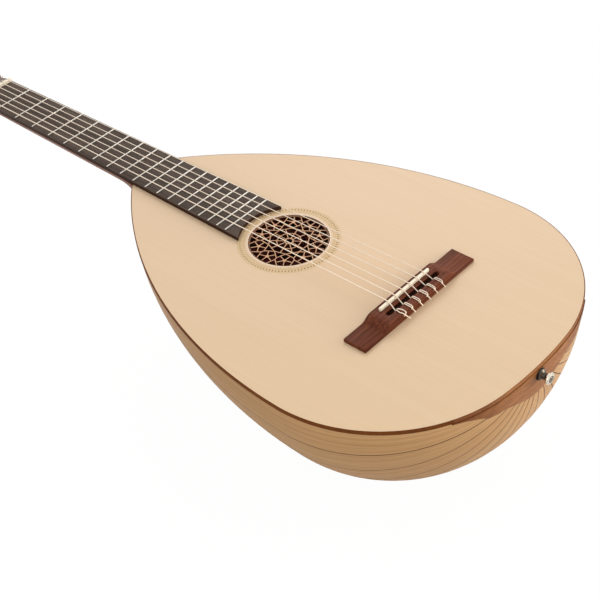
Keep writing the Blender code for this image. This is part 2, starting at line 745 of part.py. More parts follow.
# The tuning machines
def gear_line(twist):
    """The outline of the toothed wheel, with a tooth pointing to the worm."""
    line = []
    tip, root = GEAR_R + 0.55, GEAR_R - 0.75
    for k in range(TEETH):
        mid = math.pi + 2 * math.pi * k / TEETH + twist
        for r, half in ((root, 0.67), (tip, 0.2), (tip, -0.2), (root, -0.67)):
            line.append((r, mid - half / r))
    return [(r * math.cos(a), r * math.sin(a)) for r, a in line]


def worm_profile(phase):
    """Share of the thread's height at this phase of a turn, with the crest at half."""
    away = abs(phase - math.floor(phase) - 0.5) * PITCH
    return min(1.0, max(0.0, (0.67 - away) / 0.47))


def worm_rings(place):
    """The worm: a thread round a plain shaft, from its free end down to the button."""
    sides = 12
    rings = []
    levels = [ROLLER_Z + 10.2, ROLLER_Z + 7.3] + [ROLLER_Z + k * PITCH / 6 for k in range(10, -11, -1)]
    levels += [BUTTON_Z, BUTTON_Z - 9.5]
    for row, z in enumerate(levels):
        ring = []
        threaded = 3 <= row <= 21
        for k in range(sides):
            a = 2 * math.pi * k / sides
            phase = (z - ROLLER_Z) / PITCH - (a - math.pi / 2) / (2 * math.pi)
            r = SPINDLE_R + (WORM_R + 0.55 - SPINDLE_R) * worm_profile(phase) * threaded
            ring.append(place((r * math.cos(a), r * math.sin(a), z)))
        rings.append(ring)
    return rings


STEEL = ((0.72, 0.68, 0.60), 0.25, 1.0)
BUTTON = ((0.82, 0.76, 0.62), 0.25)
CENTRES = GEAR_R + WORM_R
LUG_OUT = PLATE_OUT - 0.1
LUG_HIGH = 1.9
BUTTON_ROWS = ((-0.2, 2.6, 2.6), (2.0, 3.2, 3.2), (4.5, 6.2, 3.8), (9.5, 7.6, 4.2), (14.5, 6.6, 3.8),
               (17.0, 3.6, 2.4))
for side, word in ((-1, "bass"), (1, "treble")):
    lugs = []
    holes = []
    for number, y in enumerate(ROLLERS):
        name = f"{word}_{number + 1}"

        def across(p, side=side, y=y):
            return head((side * p[2], y + p[0], ROLLER_Z + p[1]))

        def upright(p, side=side, y=y):
            return head((side * (GEAR_X + p[0]), y - CENTRES + p[1], p[2]))

        shaft = [(PEG_R, 5.0), (PEG_R, SLOT_IN + GAP), (BARREL_R, SLOT_IN + GAP), (BARREL_R, HEAD_HALF - 0.1)]
        shaft += [(3.0, HEAD_HALF - 0.1), (3.0, HEAD_HALF + 2.0), (3.6, HEAD_HALF + 2.0), (3.6, GEAR_X - 0.9)]
        roller = solid(f"roller_{name}", *lathe(shaft, 14, across), ((0.80, 0.74, 0.60), 0.35))
        wheel = []
        for h, twist in ((GEAR_X - 1.4, -0.035), (GEAR_X + 1.4, 0.035)):
            wheel.append([head((side * h, y + a, ROLLER_Z + b)) for a, b in gear_line(twist)])
        combine(roller, [solid("wheel", *loft(wheel))], "UNION")
        solid(f"worm_{name}", *loft(worm_rings(upright)), STEEL)
        for z0 in (ROLLER_Z + 5.4, ROLLER_Z - 7.3):
            z1 = z0 + LUG_HIGH
            lugs.append(box(LUG_OUT - GEAR_X, 2.8, -3.1, 3.1, z0, z1, upright))
            holes.append(prism(circle(0, 0, SPINDLE_R + 0.35, 10), z0 - 1, z1 + 1, upright))
        holes.append(lathe([(3.4, HEAD_HALF - 1), (3.4, HEAD_HALF + 3)], 12, across))
        rows = []
        for drop, wide, deep in BUTTON_ROWS:
            oval = circle(0, 0, 1, 12)
            rows.append([upright((deep * a, wide * b, BUTTON_Z - drop)) for a, b in oval])
        button = solid(f"button_{name}", *loft(rows), BUTTON)
        socket = prism(circle(0, 0, SPINDLE_R + GAP, 10), BUTTON_Z - 9.8, BUTTON_Z + 4.5, upright)
        combine(button, [solid("cut_button", *socket)], "DIFFERENCE")

    def beside(p, side=side):
        return head((side * p[0], p[1], p[2]))

    ends = (ROLLERS[0] - 15.0, ROLLERS[-1] + 11.0)
    plate_box = box(HEAD_HALF + GAP, PLATE_OUT, *ends, ROLLER_Z - 7.7, ROLLER_Z + 7.7, beside)
    plate = solid(f"tuner_plate_{word}", *plate_box, STEEL)
    combine(plate, [solid("lugs", *together(lugs))], "UNION")
    combine(plate, [solid("cut_plate", *together(holes))], "DIFFERENCE")

# The strings: tied over the back of the bridge, over the saddle and the nut, and wound round the rollers
WIND_AT = (19.5, 18.0, 14.0)
WOUND_SIDE = len(STRING_WIDE) // 2
for index, (k, string_wide) in enumerate(zip(places, STRING_WIDE)):
    bass = index < WOUND_SIDE
    number = index if bass else len(STRING_WIDE) - 1 - index
    side = -1 if bass else 1
    r = string_wide / 2
    tie, over, nut_x = k * TIE_SPREAD + STRING_SHIFT, k * SADDLE_SPREAD + STRING_SHIFT, k * NUT_SPREAD
    back = BRIDGE_BACK - GAP - r
    lid = BLOCK_HIGH + GAP + r
    path = [(tie + 2.0, TROUGH_BACK + GAP + r, 7.6), (tie + 2.0, TROUGH_BACK + GAP + r, lid - 0.6)]
    path += [(tie + 2.0, TROUGH_BACK - 0.5, lid), (tie + 1.6, BRIDGE_BACK + 0.9, lid)]
    path += [(tie + 1.55, BRIDGE_BACK - 0.35, lid + 0.05), (tie + 1.5, back - 0.1, lid - 0.9)]
    path += [(tie + 0.3, back, HOLE_HIGH + 0.5), (tie, back + 0.5, HOLE_HIGH)]
    path += [(tie, TROUGH_BACK - 0.4, HOLE_HIGH), (over, -1.5, SADDLE_TOP + 0.15 + r)]
    path += [(over, 1.5, SADDLE_TOP + 0.28 + r)]
    path += [(nut_x, SCALE, NUT_STRING + r), (nut_x, SCALE + NUT_LONG, NUT_STRING + r - 0.1)]
    around = (BARREL_R + GAP + r) / math.cos(math.pi / 12) + 0.05
    c, s = math.cos(HEAD_TILT), math.sin(HEAD_TILT)
    y0 = (SCALE + NUT_LONG - HEAD_Y) * c - NUT_STRING * s
    z0 = (SCALE + NUT_LONG - HEAD_Y) * s + NUT_STRING * c
    dy, dz = ROLLERS[number] - y0, z0 - ROLLER_Z
    start = math.pi - math.atan2(dz, dy) - math.acos(around / math.hypot(dy, dz))
    grow = 1 if number == 2 else -1
    for step in range(28):
        a = start - step * math.pi / 6
        x = WIND_AT[number] + grow * (string_wide + 0.35) * step / 12
        path.append(head((side * x, ROLLERS[number] + around * math.cos(a), ROLLER_Z + around * math.sin(a))))
    colour = (0.70, 0.62, 0.50) if bass else (0.78, 0.74, 0.66)
    solid(f"string_{index + 1}", *sweep(path, r, 5), (colour, 0.3))

# The whole is moved so that the origin is at its bottom centre
bpy.context.view_layer.update()
corners = np.array([v.co[:] for obj in MADE for v in obj.data.vertices])
low, high = corners.min(axis=0), corners.max(axis=0)
shift = -np.array([(low[0] + high[0]) / 2, (low[1] + high[1]) / 2, low[2]])
for obj in MADE:
    spots = np.empty(len(obj.data.vertices) * 3)
    obj.data.vertices.foreach_get("co", spots)
    spots = spots.reshape(-1, 3) + shift
    obj.data.vertices.foreach_set("co", spots.reshape(-1))
    obj.data.update()
print("shift in metres", shift, "size", high - low, "objects", len(MADE))
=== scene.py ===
"""Looks, camera and light for the lute guitar. Lengths are in metres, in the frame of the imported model.

Points written with at() are in millimetres from the saddle: x to the treble side, y to the head and z up
from the top face, as in the source of the part.
"""

import math

import bmesh
import bpy
import numpy as np
from mathutils import Matrix, Vector
from mathutils.geometry import delaunay_2d_cdt


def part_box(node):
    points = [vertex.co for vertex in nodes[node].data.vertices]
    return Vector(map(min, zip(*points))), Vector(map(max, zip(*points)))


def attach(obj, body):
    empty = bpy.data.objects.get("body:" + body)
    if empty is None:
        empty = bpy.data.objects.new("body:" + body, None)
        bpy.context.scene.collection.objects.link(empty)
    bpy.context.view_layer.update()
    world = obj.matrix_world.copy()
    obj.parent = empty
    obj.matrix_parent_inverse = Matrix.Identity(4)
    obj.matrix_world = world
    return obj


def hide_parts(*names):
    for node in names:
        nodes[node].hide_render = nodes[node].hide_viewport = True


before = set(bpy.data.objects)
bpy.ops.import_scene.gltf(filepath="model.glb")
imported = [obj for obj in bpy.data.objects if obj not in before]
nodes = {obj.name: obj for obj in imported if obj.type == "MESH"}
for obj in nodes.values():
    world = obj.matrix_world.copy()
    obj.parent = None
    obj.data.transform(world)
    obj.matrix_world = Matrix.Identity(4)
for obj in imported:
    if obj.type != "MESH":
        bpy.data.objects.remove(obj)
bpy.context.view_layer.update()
scene = bpy.context.scene
MM = 0.001

# Sizes that scene pieces share with the solids, in millimetres
STRING_LONG = 650.0  # from the saddle to the nut
FRETS = 19
NUT_HALF = 25.8  # half the board's width at the nut
BOARD_TAPER = 0.01753  # growth of that half per millimetre
BOARD_TOP = 5.3
HOLE_Y = 155.6  # the sound hole's middle
STRAND_TOP = -1.6  # top of the rose's strands
BOWL_DEEP = 0.90  # depth of the bowl as a share of its half width
RIBS = 15
RIB_TOP = -4.3  # the ribs' upper edges
CLASP_HALF = 105.0  # half the tail clasp's length
BRIDGE_BACK = -21.3  # the side of the tie block where the strings come in
TROUGH_BACK = -12.6  # its side to the saddle
TIE_BLOCK_TOP = 9.5
TIE_HOLE_Z = 6.6
SADDLE_TOP = 12.8
STRING_WIDE = (1.15, 1.05, 0.95, 1.05, 0.95, 0.85)
NUT_SPREAD = 8.6  # from string to string
SADDLE_SPREAD = 11.1
TIE_SPREAD = 11.8
STRING_SHIFT = 2.1  # of all strings at the bridge, to the treble side
STRING_LOW = 7.2  # underside of the strings at the nut
HEAD_TILT = math.radians(15)
HEAD_Y = 655.5  # where the head's tilted frame begins
ROLLERS = (52.0, 87.0, 122.0)  # y in the head's frame
ROLLER_Z = -10.5
BARREL_R = 5.0
GAP = 0.3  # left between neighbouring pieces

saddle_low, saddle_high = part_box("saddle")
TOP_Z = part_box("soundboard")[1].z
ORIGIN = Vector((0.0, (saddle_low.y + saddle_high.y) / 2, TOP_Z))


def at(x, y, z):
    """A point in millimetres from the saddle, in the row frame."""
    return ORIGIN + Vector((x, y, z)) * MM


def head(x, y, z):
    """A point of the head's tilted frame, in millimetres from the saddle."""
    c, s = math.cos(HEAD_TILT), math.sin(HEAD_TILT)
    return (x, HEAD_Y + y * c + z * s, -y * s + z * c)


# The camera at the photograph's view: its place from the saddle, its line of sight and the way down the picture
EYE = (-788.83, -675.17, 900.47)
SIGHT = Vector((0.5243, 0.5477, -0.6520)).normalized()
DOWN = Vector((-0.5280, -0.3916, -0.7535))
LENS = 83.21
camera = bpy.data.objects.new("camera", bpy.data.cameras.new("camera"))
scene.collection.objects.link(camera)
down = (DOWN - SIGHT * DOWN.dot(SIGHT)).normalized()
turn = Matrix((down.cross(SIGHT), -down, -SIGHT)).transposed()
camera.matrix_world = Matrix.Translation(at(*EYE)) @ turn.to_4x4()
camera.data.lens = LENS
camera.data.sensor_width = 36.0
camera.data.clip_start = 0.01
scene.camera = camera
scene.view_settings.view_transform = "Standard"

COAT_ROUGH = 0.1  # of the clear coats


class Shader:
    """A material built node by node, with its texture space in millimetres from the saddle."""

    def __init__(self, name):
        self.material = bpy.data.materials.new(name)
        self.material.use_nodes = True
        self.tree = self.material.node_tree
        self.main = self.tree.nodes["Principled BSDF"]
        place = self.tree.nodes.new("ShaderNodeTexCoord").outputs["Object"]
        self.place = self.math_vector("SUBTRACT", place, tuple(ORIGIN))
        self.place = self.math_vector("MULTIPLY", self.place, (1 / MM, 1 / MM, 1 / MM))

    def node(self, kind, **values):
        made = self.tree.nodes.new(kind)
        for key, value in values.items():
            setattr(made, key, value)
        return made

    def put(self, socket, value):
        """Links an output to the socket, or sets the socket to a number, a vector or a colour."""
        if isinstance(value, bpy.types.NodeSocket):
            self.tree.links.new(value, socket)
        elif socket.type == "RGBA" and len(value) == 3:
            socket.default_value = (*value, 1.0)
        else:
            socket.default_value = value

    def math_vector(self, operation, a, b):
        made = self.node("ShaderNodeVectorMath", operation=operation)
        self.put(made.inputs[0], a)
        self.put(made.inputs[1], b)
        return made.outputs[0]

    def maths(self, operation, a, b=0.0):
        made = self.node("ShaderNodeMath", operation=operation)
        self.put(made.inputs[0], a)
        self.put(made.inputs[1], b)
        return made.outputs[0]

    def length(self, a, b):
        """The length of the vector (a, b)."""
        squares = self.maths("MULTIPLY", a, a), self.maths("MULTIPLY", b, b)
        return self.maths("SQRT", self.maths("ADD", *squares))

    def parts(self, vector):
        """The vector's x, y and z."""
        made = self.node("ShaderNodeSeparateXYZ")
        self.put(made.inputs[0], vector)
        return made.outputs

    def vector(self, x, y, z):
        made = self.node("ShaderNodeCombineXYZ")
        for socket, value in zip(made.inputs, (x, y, z)):
            self.put(socket, value)
        return made.outputs[0]

    def noise(self, scale, detail, rough, vector=None):
        """Noise whose spots are 1/scale millimetres long on each axis."""
        made = self.node("ShaderNodeTexNoise")
        spread = self.math_vector("MULTIPLY", vector or self.place, scale)
        self.put(made.inputs["Vector"], spread)
        self.put(made.inputs["Scale"], 1.0)
        self.put(made.inputs["Detail"], detail)
        self.put(made.inputs["Roughness"], rough)
        return made.outputs[0]

    def ramp(self, value, low, high, to_low=0.0, to_high=1.0):
        """The value from low to high, spread from to_low to to_high and held beyond them."""
        made = self.node("ShaderNodeMapRange")
        for socket, given in zip(made.inputs, (value, low, high, to_low, to_high)):
            self.put(socket, given)
        return made.outputs[0]

    def mix(self, share, a, b, blend="MIX"):
        """Colour a at share 0 and b, or a blended with b, at share 1."""
        made = self.node("ShaderNodeMix", data_type="RGBA", blend_type=blend)
        self.put(made.inputs[0], share)
        self.put(made.inputs[6], a)
        self.put(made.inputs[7], b)
        return made.outputs[2]

    def bump(self, height, depth, strength):
        """Bump from a height of 0 to 1 that stands for this depth in millimetres."""
        made = self.node("ShaderNodeBump")
        made.inputs["Strength"].default_value = strength
        made.inputs["Distance"].default_value = depth * MM
        self.put(made.inputs["Height"], height)
        self.put(self.main.inputs["Normal"], made.outputs[0])

    def finish(self, colour, rough, metal=0.0, coat=0.0, shine=0.5):
        self.put(self.main.inputs["Base Color"], colour)
        self.put(self.main.inputs["Specular IOR Level"], shine)
        self.put(self.main.inputs["Roughness"], rough)
        self.put(self.main.inputs["Metallic"], metal)
        self.put(self.main.inputs["Coat Weight"], coat)
        self.put(self.main.inputs["Coat Roughness"], COAT_ROUGH)
        return self.material


def stretched(along, fine, long):
    """Noise scale per axis: fine across the grain and long along it."""
    return tuple(long if axis == along else fine for axis in "XYZ")


# Wood: how its broad bands and hair lines compare with the grain, and where its pores show
NOISE_SPAN = (0.3, 0.7)
BAND_SPAN = (0.33, 0.67)
BROAD_FINE, BROAD_LONG = 0.12, 0.4
BROAD_SHARE = 0.35
HAIR_FINE, HAIR_LONG = 4.0, 3.0
PORE_FINE, PORE_LONG = 2.2, 0.07
PORE_SPAN = (0.62, 0.70)
PORE_DARK = 0.35
PORE_DEEP = 0.12


def wood(name, dark, light, along="Y", fine=0.5, long=0.006, pores=0.0, rough=0.4, shine=0.2, hairs=0.06,
         relief=0.05, vector=None, tone=None):
    """Wood with broad tone bands, fine grain lines and short dark pores, running along one axis."""
    s = Shader(name)
    vector = vector(s) if vector else s.place
    broad = s.noise(stretched(along, fine * BROAD_FINE, long * BROAD_LONG), 2.0, 0.5, vector)
    grain = s.noise(stretched(along, fine, long), 4.0, 0.6, vector)
    hair = s.noise(stretched(along, fine * HAIR_FINE, long * HAIR_LONG), 2.0, 0.5, vector)
    share = s.maths("ADD", s.maths("MULTIPLY", broad, BROAD_SHARE), s.maths("MULTIPLY", grain, 1 - BROAD_SHARE))
    colour = s.mix(s.ramp(share, *BAND_SPAN), dark, light)
    hair_tone = s.ramp(hair, *NOISE_SPAN, 1.0 - hairs, 1.0 + hairs)
    colour = s.mix(1.0, colour, s.vector(hair_tone, hair_tone, hair_tone), "MULTIPLY")
    if pores:
        spots = s.noise(stretched(along, PORE_FINE, PORE_LONG), 2.0, 0.5, vector)
        spots = s.ramp(spots, *PORE_SPAN, 0.0, pores)
        colour = s.mix(spots, colour, tuple(c * PORE_DARK for c in dark))
        s.bump(s.maths("SUBTRACT", 1.0, spots), PORE_DEEP, 0.5)
    else:
        s.bump(grain, relief, 0.25)
    if tone:
        colour = tone(s, colour)
    return s.finish(colour, s.ramp(grain, *NOISE_SPAN, rough + 0.06, rough - 0.04), shine=shine)


def between(s, value, low, high, soft=0.15):
    """1 where the value lies between low and high, falling to 0 over the soft width."""
    up = s.ramp(value, low - soft, low + soft)
    fall = s.ramp(value, high - soft, high + soft)
    return s.maths("SUBTRACT", up, fall)


def bowl_place(s):
    """A place in the bowl: x and depth with the bowl made round, the angle, its count in ribs and the rib."""
    x, _, z = s.parts(s.place)
    low = s.maths("DIVIDE", s.maths("SUBTRACT", RIB_TOP, z), BOWL_DEEP)
    angle = s.maths("ARCTAN2", low, s.maths("MULTIPLY", x, -1.0))
    turned = s.maths("MULTIPLY", angle, RIBS / math.pi)
    return x, low, angle, turned, s.maths("FLOOR", turned)


# The ribs' grain: how far across a turn of one radian counts, and the step from rib to rib, in millimetres
GRAIN_REACH = 150.0
RIB_STEP_Y = 317.0
RIB_STEP_Z = 53.0
# The ribs' tones: the most that one differs, and the distances over which its dark edge fades
RIB_SPREAD = 0.6
RIB_EDGE = (0.4, 0.85)


def bowl_vector(s):
    """Texture space bent round the bowl, so that grain follows each rib, with a step from rib to rib."""
    _, y, _ = s.parts(s.place)
    _, _, angle, _, rib = bowl_place(s)
    moved = s.maths("ADD", y, s.maths("MULTIPLY", rib, RIB_STEP_Y))
    return s.vector(s.maths("MULTIPLY", angle, GRAIN_REACH), moved, s.maths("MULTIPLY", rib, RIB_STEP_Z))


def rib_tone(s, colour):
    """Each rib a little lighter or redder than the next, and dark along its edges."""
    x, low, _, turned, rib = bowl_place(s)
    chance = s.node("ShaderNodeTexWhiteNoise", noise_dimensions="1D")
    s.put(chance.inputs["W"], rib)
    share = s.ramp(chance.outputs["Value"], 0.0, 1.0, 0.0, RIB_SPREAD)
    colour = s.mix(share, colour, (0.93, 0.86, 0.78), "MULTIPLY")
    across = s.maths("FRACT", turned)
    across = s.maths("MINIMUM", across, s.maths("SUBTRACT", 1.0, across))
    to_edge = s.maths("MULTIPLY", s.maths("MULTIPLY", across, s.length(x, low)), math.pi / RIBS)
    return s.mix(s.ramp(to_edge, *RIB_EDGE, 0.9, 0.0), colour, (0.10, 0.036, 0.014))


def radius_and_turn(s):
    """Distance from the middle of the sound hole in millimetres, and the angle round it."""
    x, y, _ = s.parts(s.place)
    y = s.maths("SUBTRACT", y, HOLE_Y)
    return s.length(x, y), s.maths("ARCTAN2", y, x)


# Where the tones change, in millimetres
PAINTED_SHEEN_SPAN = (-260.0, 240.0)  # x + y, from the golden tail to the paler neck side, a painted sheen
HOLE_LINE = (42.9, 44.3)  # radii of the pale line round the sound hole
ROSE_RIM = (41.3, 41.6)  # radii over which the rose's rim begins, painted darker as painted shade
STRAND_SIDE = (0.14, 0.06)  # below the strands' flat tops, where the cut sides take painted shade
BOARD_SIDE = (0.35, 0.55)  # below the board's top
CLASP_ENDS = (45.0, CLASP_HALF)
TROUGH_FRONT = -2.6
TROUGH_DEEP = (8.2, 7.4)
TROUGH_HALF = (42.5, 42.0)
RING_LINES = ((47.3, 0.4), (48.3, 0.3), (49.5, 0.4), (53.9, 0.2))  # radius and strength
RING_LINE_HALF = 0.2
DASH_BAND = (50.6, 53.0)  # radii
DASHES = 96.0  # round the whole ring
CROWN_SIDE = (0.7, 1.15)  # above the board's top, where the painted dark sides give way to the crown


def top_tone(s, colour):
    """The top is painted paler towards the neck side and more golden towards the tail, a painted sheen, with a pale
    line round the edge of the sound hole.
    """
    x, y, _ = s.parts(s.place)
    # Painted sheen: the neck side is left paler and the tail is made more golden
    sheen_gradient = s.ramp(s.maths("ADD", x, y), *PAINTED_SHEEN_SPAN, 1.0, 0.0)
    colour = s.mix(sheen_gradient, colour, s.mix(1.0, colour, (0.995, 0.975, 0.92), "MULTIPLY"))
    r, _ = radius_and_turn(s)
    return s.mix(between(s, r, *HOLE_LINE), colour, (0.98, 0.79, 0.61))


def rose_painted_shade(s, colour):
    """The flat tops keep their colour, and painted shade darkens the rim under the top's edge and turns the cut sides
    dark red-brown.
    """
    _, _, z = s.parts(s.place)
    r, _ = radius_and_turn(s)
    # Painted shade on the rim, which lies under the top's edge
    colour = s.mix(s.ramp(r, *ROSE_RIM), colour, (0.22, 0.11, 0.06))
    # Painted shade on the strands' cut sides
    return s.mix(s.ramp(z, *(STRAND_TOP - down for down in STRAND_SIDE)), (0.10, 0.018, 0.011), colour)


def board_side(s, colour):
    """The board's sides are browner than its worn top."""
    _, _, z = s.parts(s.place)
    return s.mix(s.ramp(z, *(BOARD_TOP - down for down in BOARD_SIDE)), colour, (0.042, 0.017, 0.009))


def clasp_tone(s, colour):
    """The clasp is darker towards its two ends."""
    x, _, _ = s.parts(s.place)
    ends = s.ramp(s.maths("ABSOLUTE", x), *CLASP_ENDS, 0.0, 0.9)
    return s.mix(ends, colour, (0.165, 0.048, 0.011))


def trough_painted_shade(s, colour):
    """The wood inside the trough between the saddle and the tie block is painted nearly black, a painted shade of the
    deep trough.
    """
    x, y, z = s.parts(s.place)
    # Painted shade: stronger deeper in the trough and away from its ends
    inside = s.maths("MULTIPLY", between(s, y, TROUGH_BACK - 0.2, TROUGH_FRONT, 0.2), s.ramp(z, *TROUGH_DEEP))
    inside = s.maths("MULTIPLY", inside, s.ramp(s.maths("ABSOLUTE", x), *TROUGH_HALF))
    return s.mix(s.maths("MULTIPLY", inside, 0.85), colour, (0.012, 0.004, 0.003))


def ring_marks(s, colour):
    """Fine lines round the ring and a row of short dark dashes across it."""
    r, turned = radius_and_turn(s)
    for line, strength in RING_LINES:
        band = between(s, r, line - RING_LINE_HALF, line + RING_LINE_HALF)
        colour = s.mix(s.maths("MULTIPLY", band, strength), colour, (0.36, 0.20, 0.09))
    wave = s.maths("SINE", s.maths("MULTIPLY", turned, DASHES))
    dash = s.maths("MULTIPLY", s.ramp(wave, 0.0, 0.5), between(s, r, *DASH_BAND))
    return s.mix(s.maths("MULTIPLY", dash, 0.85), colour, (0.34, 0.19, 0.09))


def fret_painted_reflection(s, colour):
    """The wire's sides are painted dark, a painted reflection of the board's dark wood, so that only the crown shows
    the bright metal.
    """
    _, _, z = s.parts(s.place)
    # Painted reflection: dark below the crown, bright metal on it
    return s.mix(s.ramp(z, *(BOARD_TOP + up for up in CROWN_SIDE)), (0.13, 0.11, 0.095), colour)


SPRUCE = wood("spruce", (0.788, 0.571, 0.370), (0.81, 0.593, 0.391), fine=0.35, long=0.003, rough=0.45,
              shine=0.3, hairs=0.018, relief=0.02, tone=top_tone)
RIB_WOOD = wood("rib_wood", (0.41, 0.224, 0.085), (0.62, 0.36, 0.160), fine=0.30, long=0.004, pores=0.3, rough=0.38,
                shine=0.18, vector=bowl_vector, tone=rib_tone)
RING_WOOD = wood("ring_wood", (0.71, 0.505, 0.275), (0.80, 0.59, 0.345), fine=0.6, long=0.1, rough=0.45,
                 tone=ring_marks)
ROSE_WOOD = wood("rose_strands", (0.62, 0.325, 0.175), (0.80, 0.49, 0.285), along="X", fine=0.25, long=0.1, rough=0.5,
                 tone=rose_painted_shade)
EDGE_WOOD = wood("edge_wood", (0.105, 0.028, 0.005), (0.21, 0.064, 0.013), fine=0.6, long=0.01, pores=0.5, rough=0.45,
                 shine=0.06)
CLASP_WOOD = wood("clasp_wood", (0.19, 0.068, 0.020), (0.40, 0.160, 0.052), along="X", fine=0.8, long=0.008, pores=0.6,
                  rough=0.42, shine=0.15, tone=clasp_tone)
BRIDGE_WOOD = wood("bridge_wood", (0.052, 0.011, 0.005), (0.25, 0.071, 0.031), along="X", fine=0.5, long=0.010,
                   pores=0.7, rough=0.42, shine=0.08, tone=trough_painted_shade)
BOARD_WOOD = wood("board_wood", (0.040, 0.027, 0.020), (0.135, 0.096, 0.074), fine=0.5, long=0.012, pores=0.7,
                  rough=0.5, shine=0.12, tone=board_side)
NECK_WOOD = wood("neck_wood", (0.17, 0.060, 0.028), (0.36, 0.145, 0.075), fine=0.35, long=0.006, pores=0.6, rough=0.36)
VENEER_WOOD = wood("veneer_wood", (0.045, 0.016, 0.010), (0.15, 0.058, 0.034), fine=0.4, long=0.01, pores=0.6,
                   rough=0.3, shine=0.28)
INNER_WOOD = wood("inner_wood", (0.48, 0.30, 0.16), (0.66, 0.46, 0.28), along="X", fine=0.4, long=0.006, rough=0.6)
BLOCK_WOOD = wood("block_wood", (0.26, 0.13, 0.06), (0.42, 0.23, 0.12), along="X", fine=0.4, long=0.006, rough=0.6)
# Painted shade: the lower layer's near-black red stands for the dark inside of the bowl
UNDER_LAYER_SHADE = wood("under_layer", (0.028, 0.003, 0.002), (0.055, 0.006, 0.004), along="X", fine=0.3, long=0.1,
                  rough=0.6, shine=0.05)


def plain(name, dark, light, rough, metal=0.0, scale=(0.6, 0.6, 0.6), depth=0.02, coat=0.0, shine=0.5,
          tone=None):
    """A finish with a soft change of tone and a little unevenness."""
    s = Shader(name)
    spots = s.noise(scale, 3.0, 0.5)
    s.bump(spots, depth, 0.3)
    colour = s.mix(s.ramp(spots, *NOISE_SPAN), dark, light)
    if tone:
        colour = tone(s, colour)
    return s.finish(colour, s.ramp(spots, *NOISE_SPAN, rough + 0.05, rough - 0.05), metal, coat, shine)


BONE = plain("bone", (0.90, 0.77, 0.57), (0.97, 0.86, 0.67), 0.28, scale=(0.08, 1.2, 1.2))
STEEL = plain("steel", (0.60, 0.56, 0.50), (0.75, 0.72, 0.66), 0.24, 1.0, (0.2, 3.0, 3.0))
FRET_METAL = plain("fret_metal", (0.76, 0.70, 0.61), (0.88, 0.82, 0.73), 0.42, 0.8, (3.0, 0.3, 0.3),
                   tone=fret_painted_reflection)
SEAM_GLUE = plain("seam_glue", (0.07, 0.025, 0.010), (0.12, 0.044, 0.018), 0.6, scale=(0.3, 0.02, 0.3),
                  shine=0.1)
FELT = plain("felt", (0.010, 0.010, 0.010), (0.035, 0.033, 0.032), 0.9, scale=(4.0, 4.0, 4.0), depth=0.1)
PEARL = plain("pearl_buttons", (0.66, 0.58, 0.43), (0.88, 0.82, 0.68), 0.2, scale=(0.35, 0.35, 0.12),
              coat=0.5)
NYLON = plain("nylon", (0.98, 0.80, 0.61), (1.0, 0.88, 0.71), 0.3, scale=(0.5, 0.02, 0.5))


WIRE_PITCH = 0.28


def wound():
    """Silver wire wound round a core: fine turns along the string."""
    s = Shader("wound_string")
    _, y, _ = s.parts(s.place)
    wave = s.maths("SINE", s.maths("MULTIPLY", y, 2 * math.pi / WIRE_PITCH))
    ridge = s.ramp(wave, -1.0, 1.0)
    s.bump(ridge, 0.02, 0.08)
    colour = s.mix(ridge, (0.93, 0.77, 0.59), (1.0, 0.87, 0.70))
    return s.finish(colour, 0.4, 0.4)


WOUND = wound()

# The strap pin: its axis, its end face and the face of its flange, and radii of what its end shows
PIN_Z = -10.5
PIN_TIP = -173.4
FLANGE_END = -168.3
END_FACE = (0.35, 0.15)
RECESS_OUT = (3.8, 3.4)
RECESS_IN = (2.3, 2.6)
SCREW_R = (2.6, 2.3)
CROSS_HALF = (0.6, 0.35)
CROSS_R = (1.9, 1.7)


def pin_finish():
    """Bright metal, painted dark on the flange and the neck as a painted reflection of dark surroundings, with a
    recess and a crossed screw in the end face whose hollows get painted shade.
    """
    s = Shader("pin_metal")
    x, y, z = s.parts(s.place)
    z = s.maths("SUBTRACT", z, PIN_Z)
    r = s.length(x, z)
    face = s.ramp(y, *(PIN_TIP + deep for deep in END_FACE))
    arm = s.maths("MINIMUM", s.maths("ABSOLUTE", x), s.maths("ABSOLUTE", z))
    cross = s.maths("MULTIPLY", s.ramp(arm, *CROSS_HALF), s.ramp(r, *CROSS_R))
    # Painted shade in the recess and in the cross of the screw
    shaded_recess = s.maths("MULTIPLY", s.ramp(r, *RECESS_OUT), s.ramp(r, *RECESS_IN))
    shaded_recess = s.maths("MULTIPLY", s.maths("MAXIMUM", shaded_recess, cross), face)
    spots = s.noise((0.6, 0.6, 0.6), 3.0, 0.5)
    s.bump(s.maths("SUBTRACT", s.maths("MULTIPLY", spots, 0.1), shaded_recess), 0.4, 0.6)
    metal = s.mix(s.ramp(spots, *NOISE_SPAN), (0.74, 0.66, 0.54), (0.86, 0.78, 0.65))
    # Painted reflection: the flange and the neck are painted dark
    metal = s.mix(s.ramp(y, FLANGE_END - 0.2, FLANGE_END + 0.2), metal, (0.09, 0.072, 0.055))
    metal = s.mix(s.maths("MULTIPLY", s.ramp(r, *SCREW_R), face), metal, (0.30, 0.27, 0.20))
    return s.finish(s.mix(shaded_recess, metal, (0.03, 0.026, 0.024)), s.ramp(spots, *NOISE_SPAN, 0.20, 0.12), 1.0)


PIN_METAL = pin_finish()

LOOKS = {
    "soundboard": SPRUCE, "edge_binding": EDGE_WOOD, "rosette_ring": RING_WOOD, "rose": ROSE_WOOD,
    "top_bar": INNER_WOOD, "tail_block": BLOCK_WOOD, "neck_block": BLOCK_WOOD, "end_clasp": CLASP_WOOD,
    "strap_pin": PIN_METAL, "pin_washer": FELT, "fingerboard": BOARD_WOOD, "nut": BONE, "bridge": BRIDGE_WOOD,
    "saddle": BONE, "neck": NECK_WOOD, "head_veneer": VENEER_WOOD, "rib": RIB_WOOD, "roller": BONE, "worm": STEEL,
    "button": PEARL, "tuner_plate": STEEL, "string": NYLON,
}


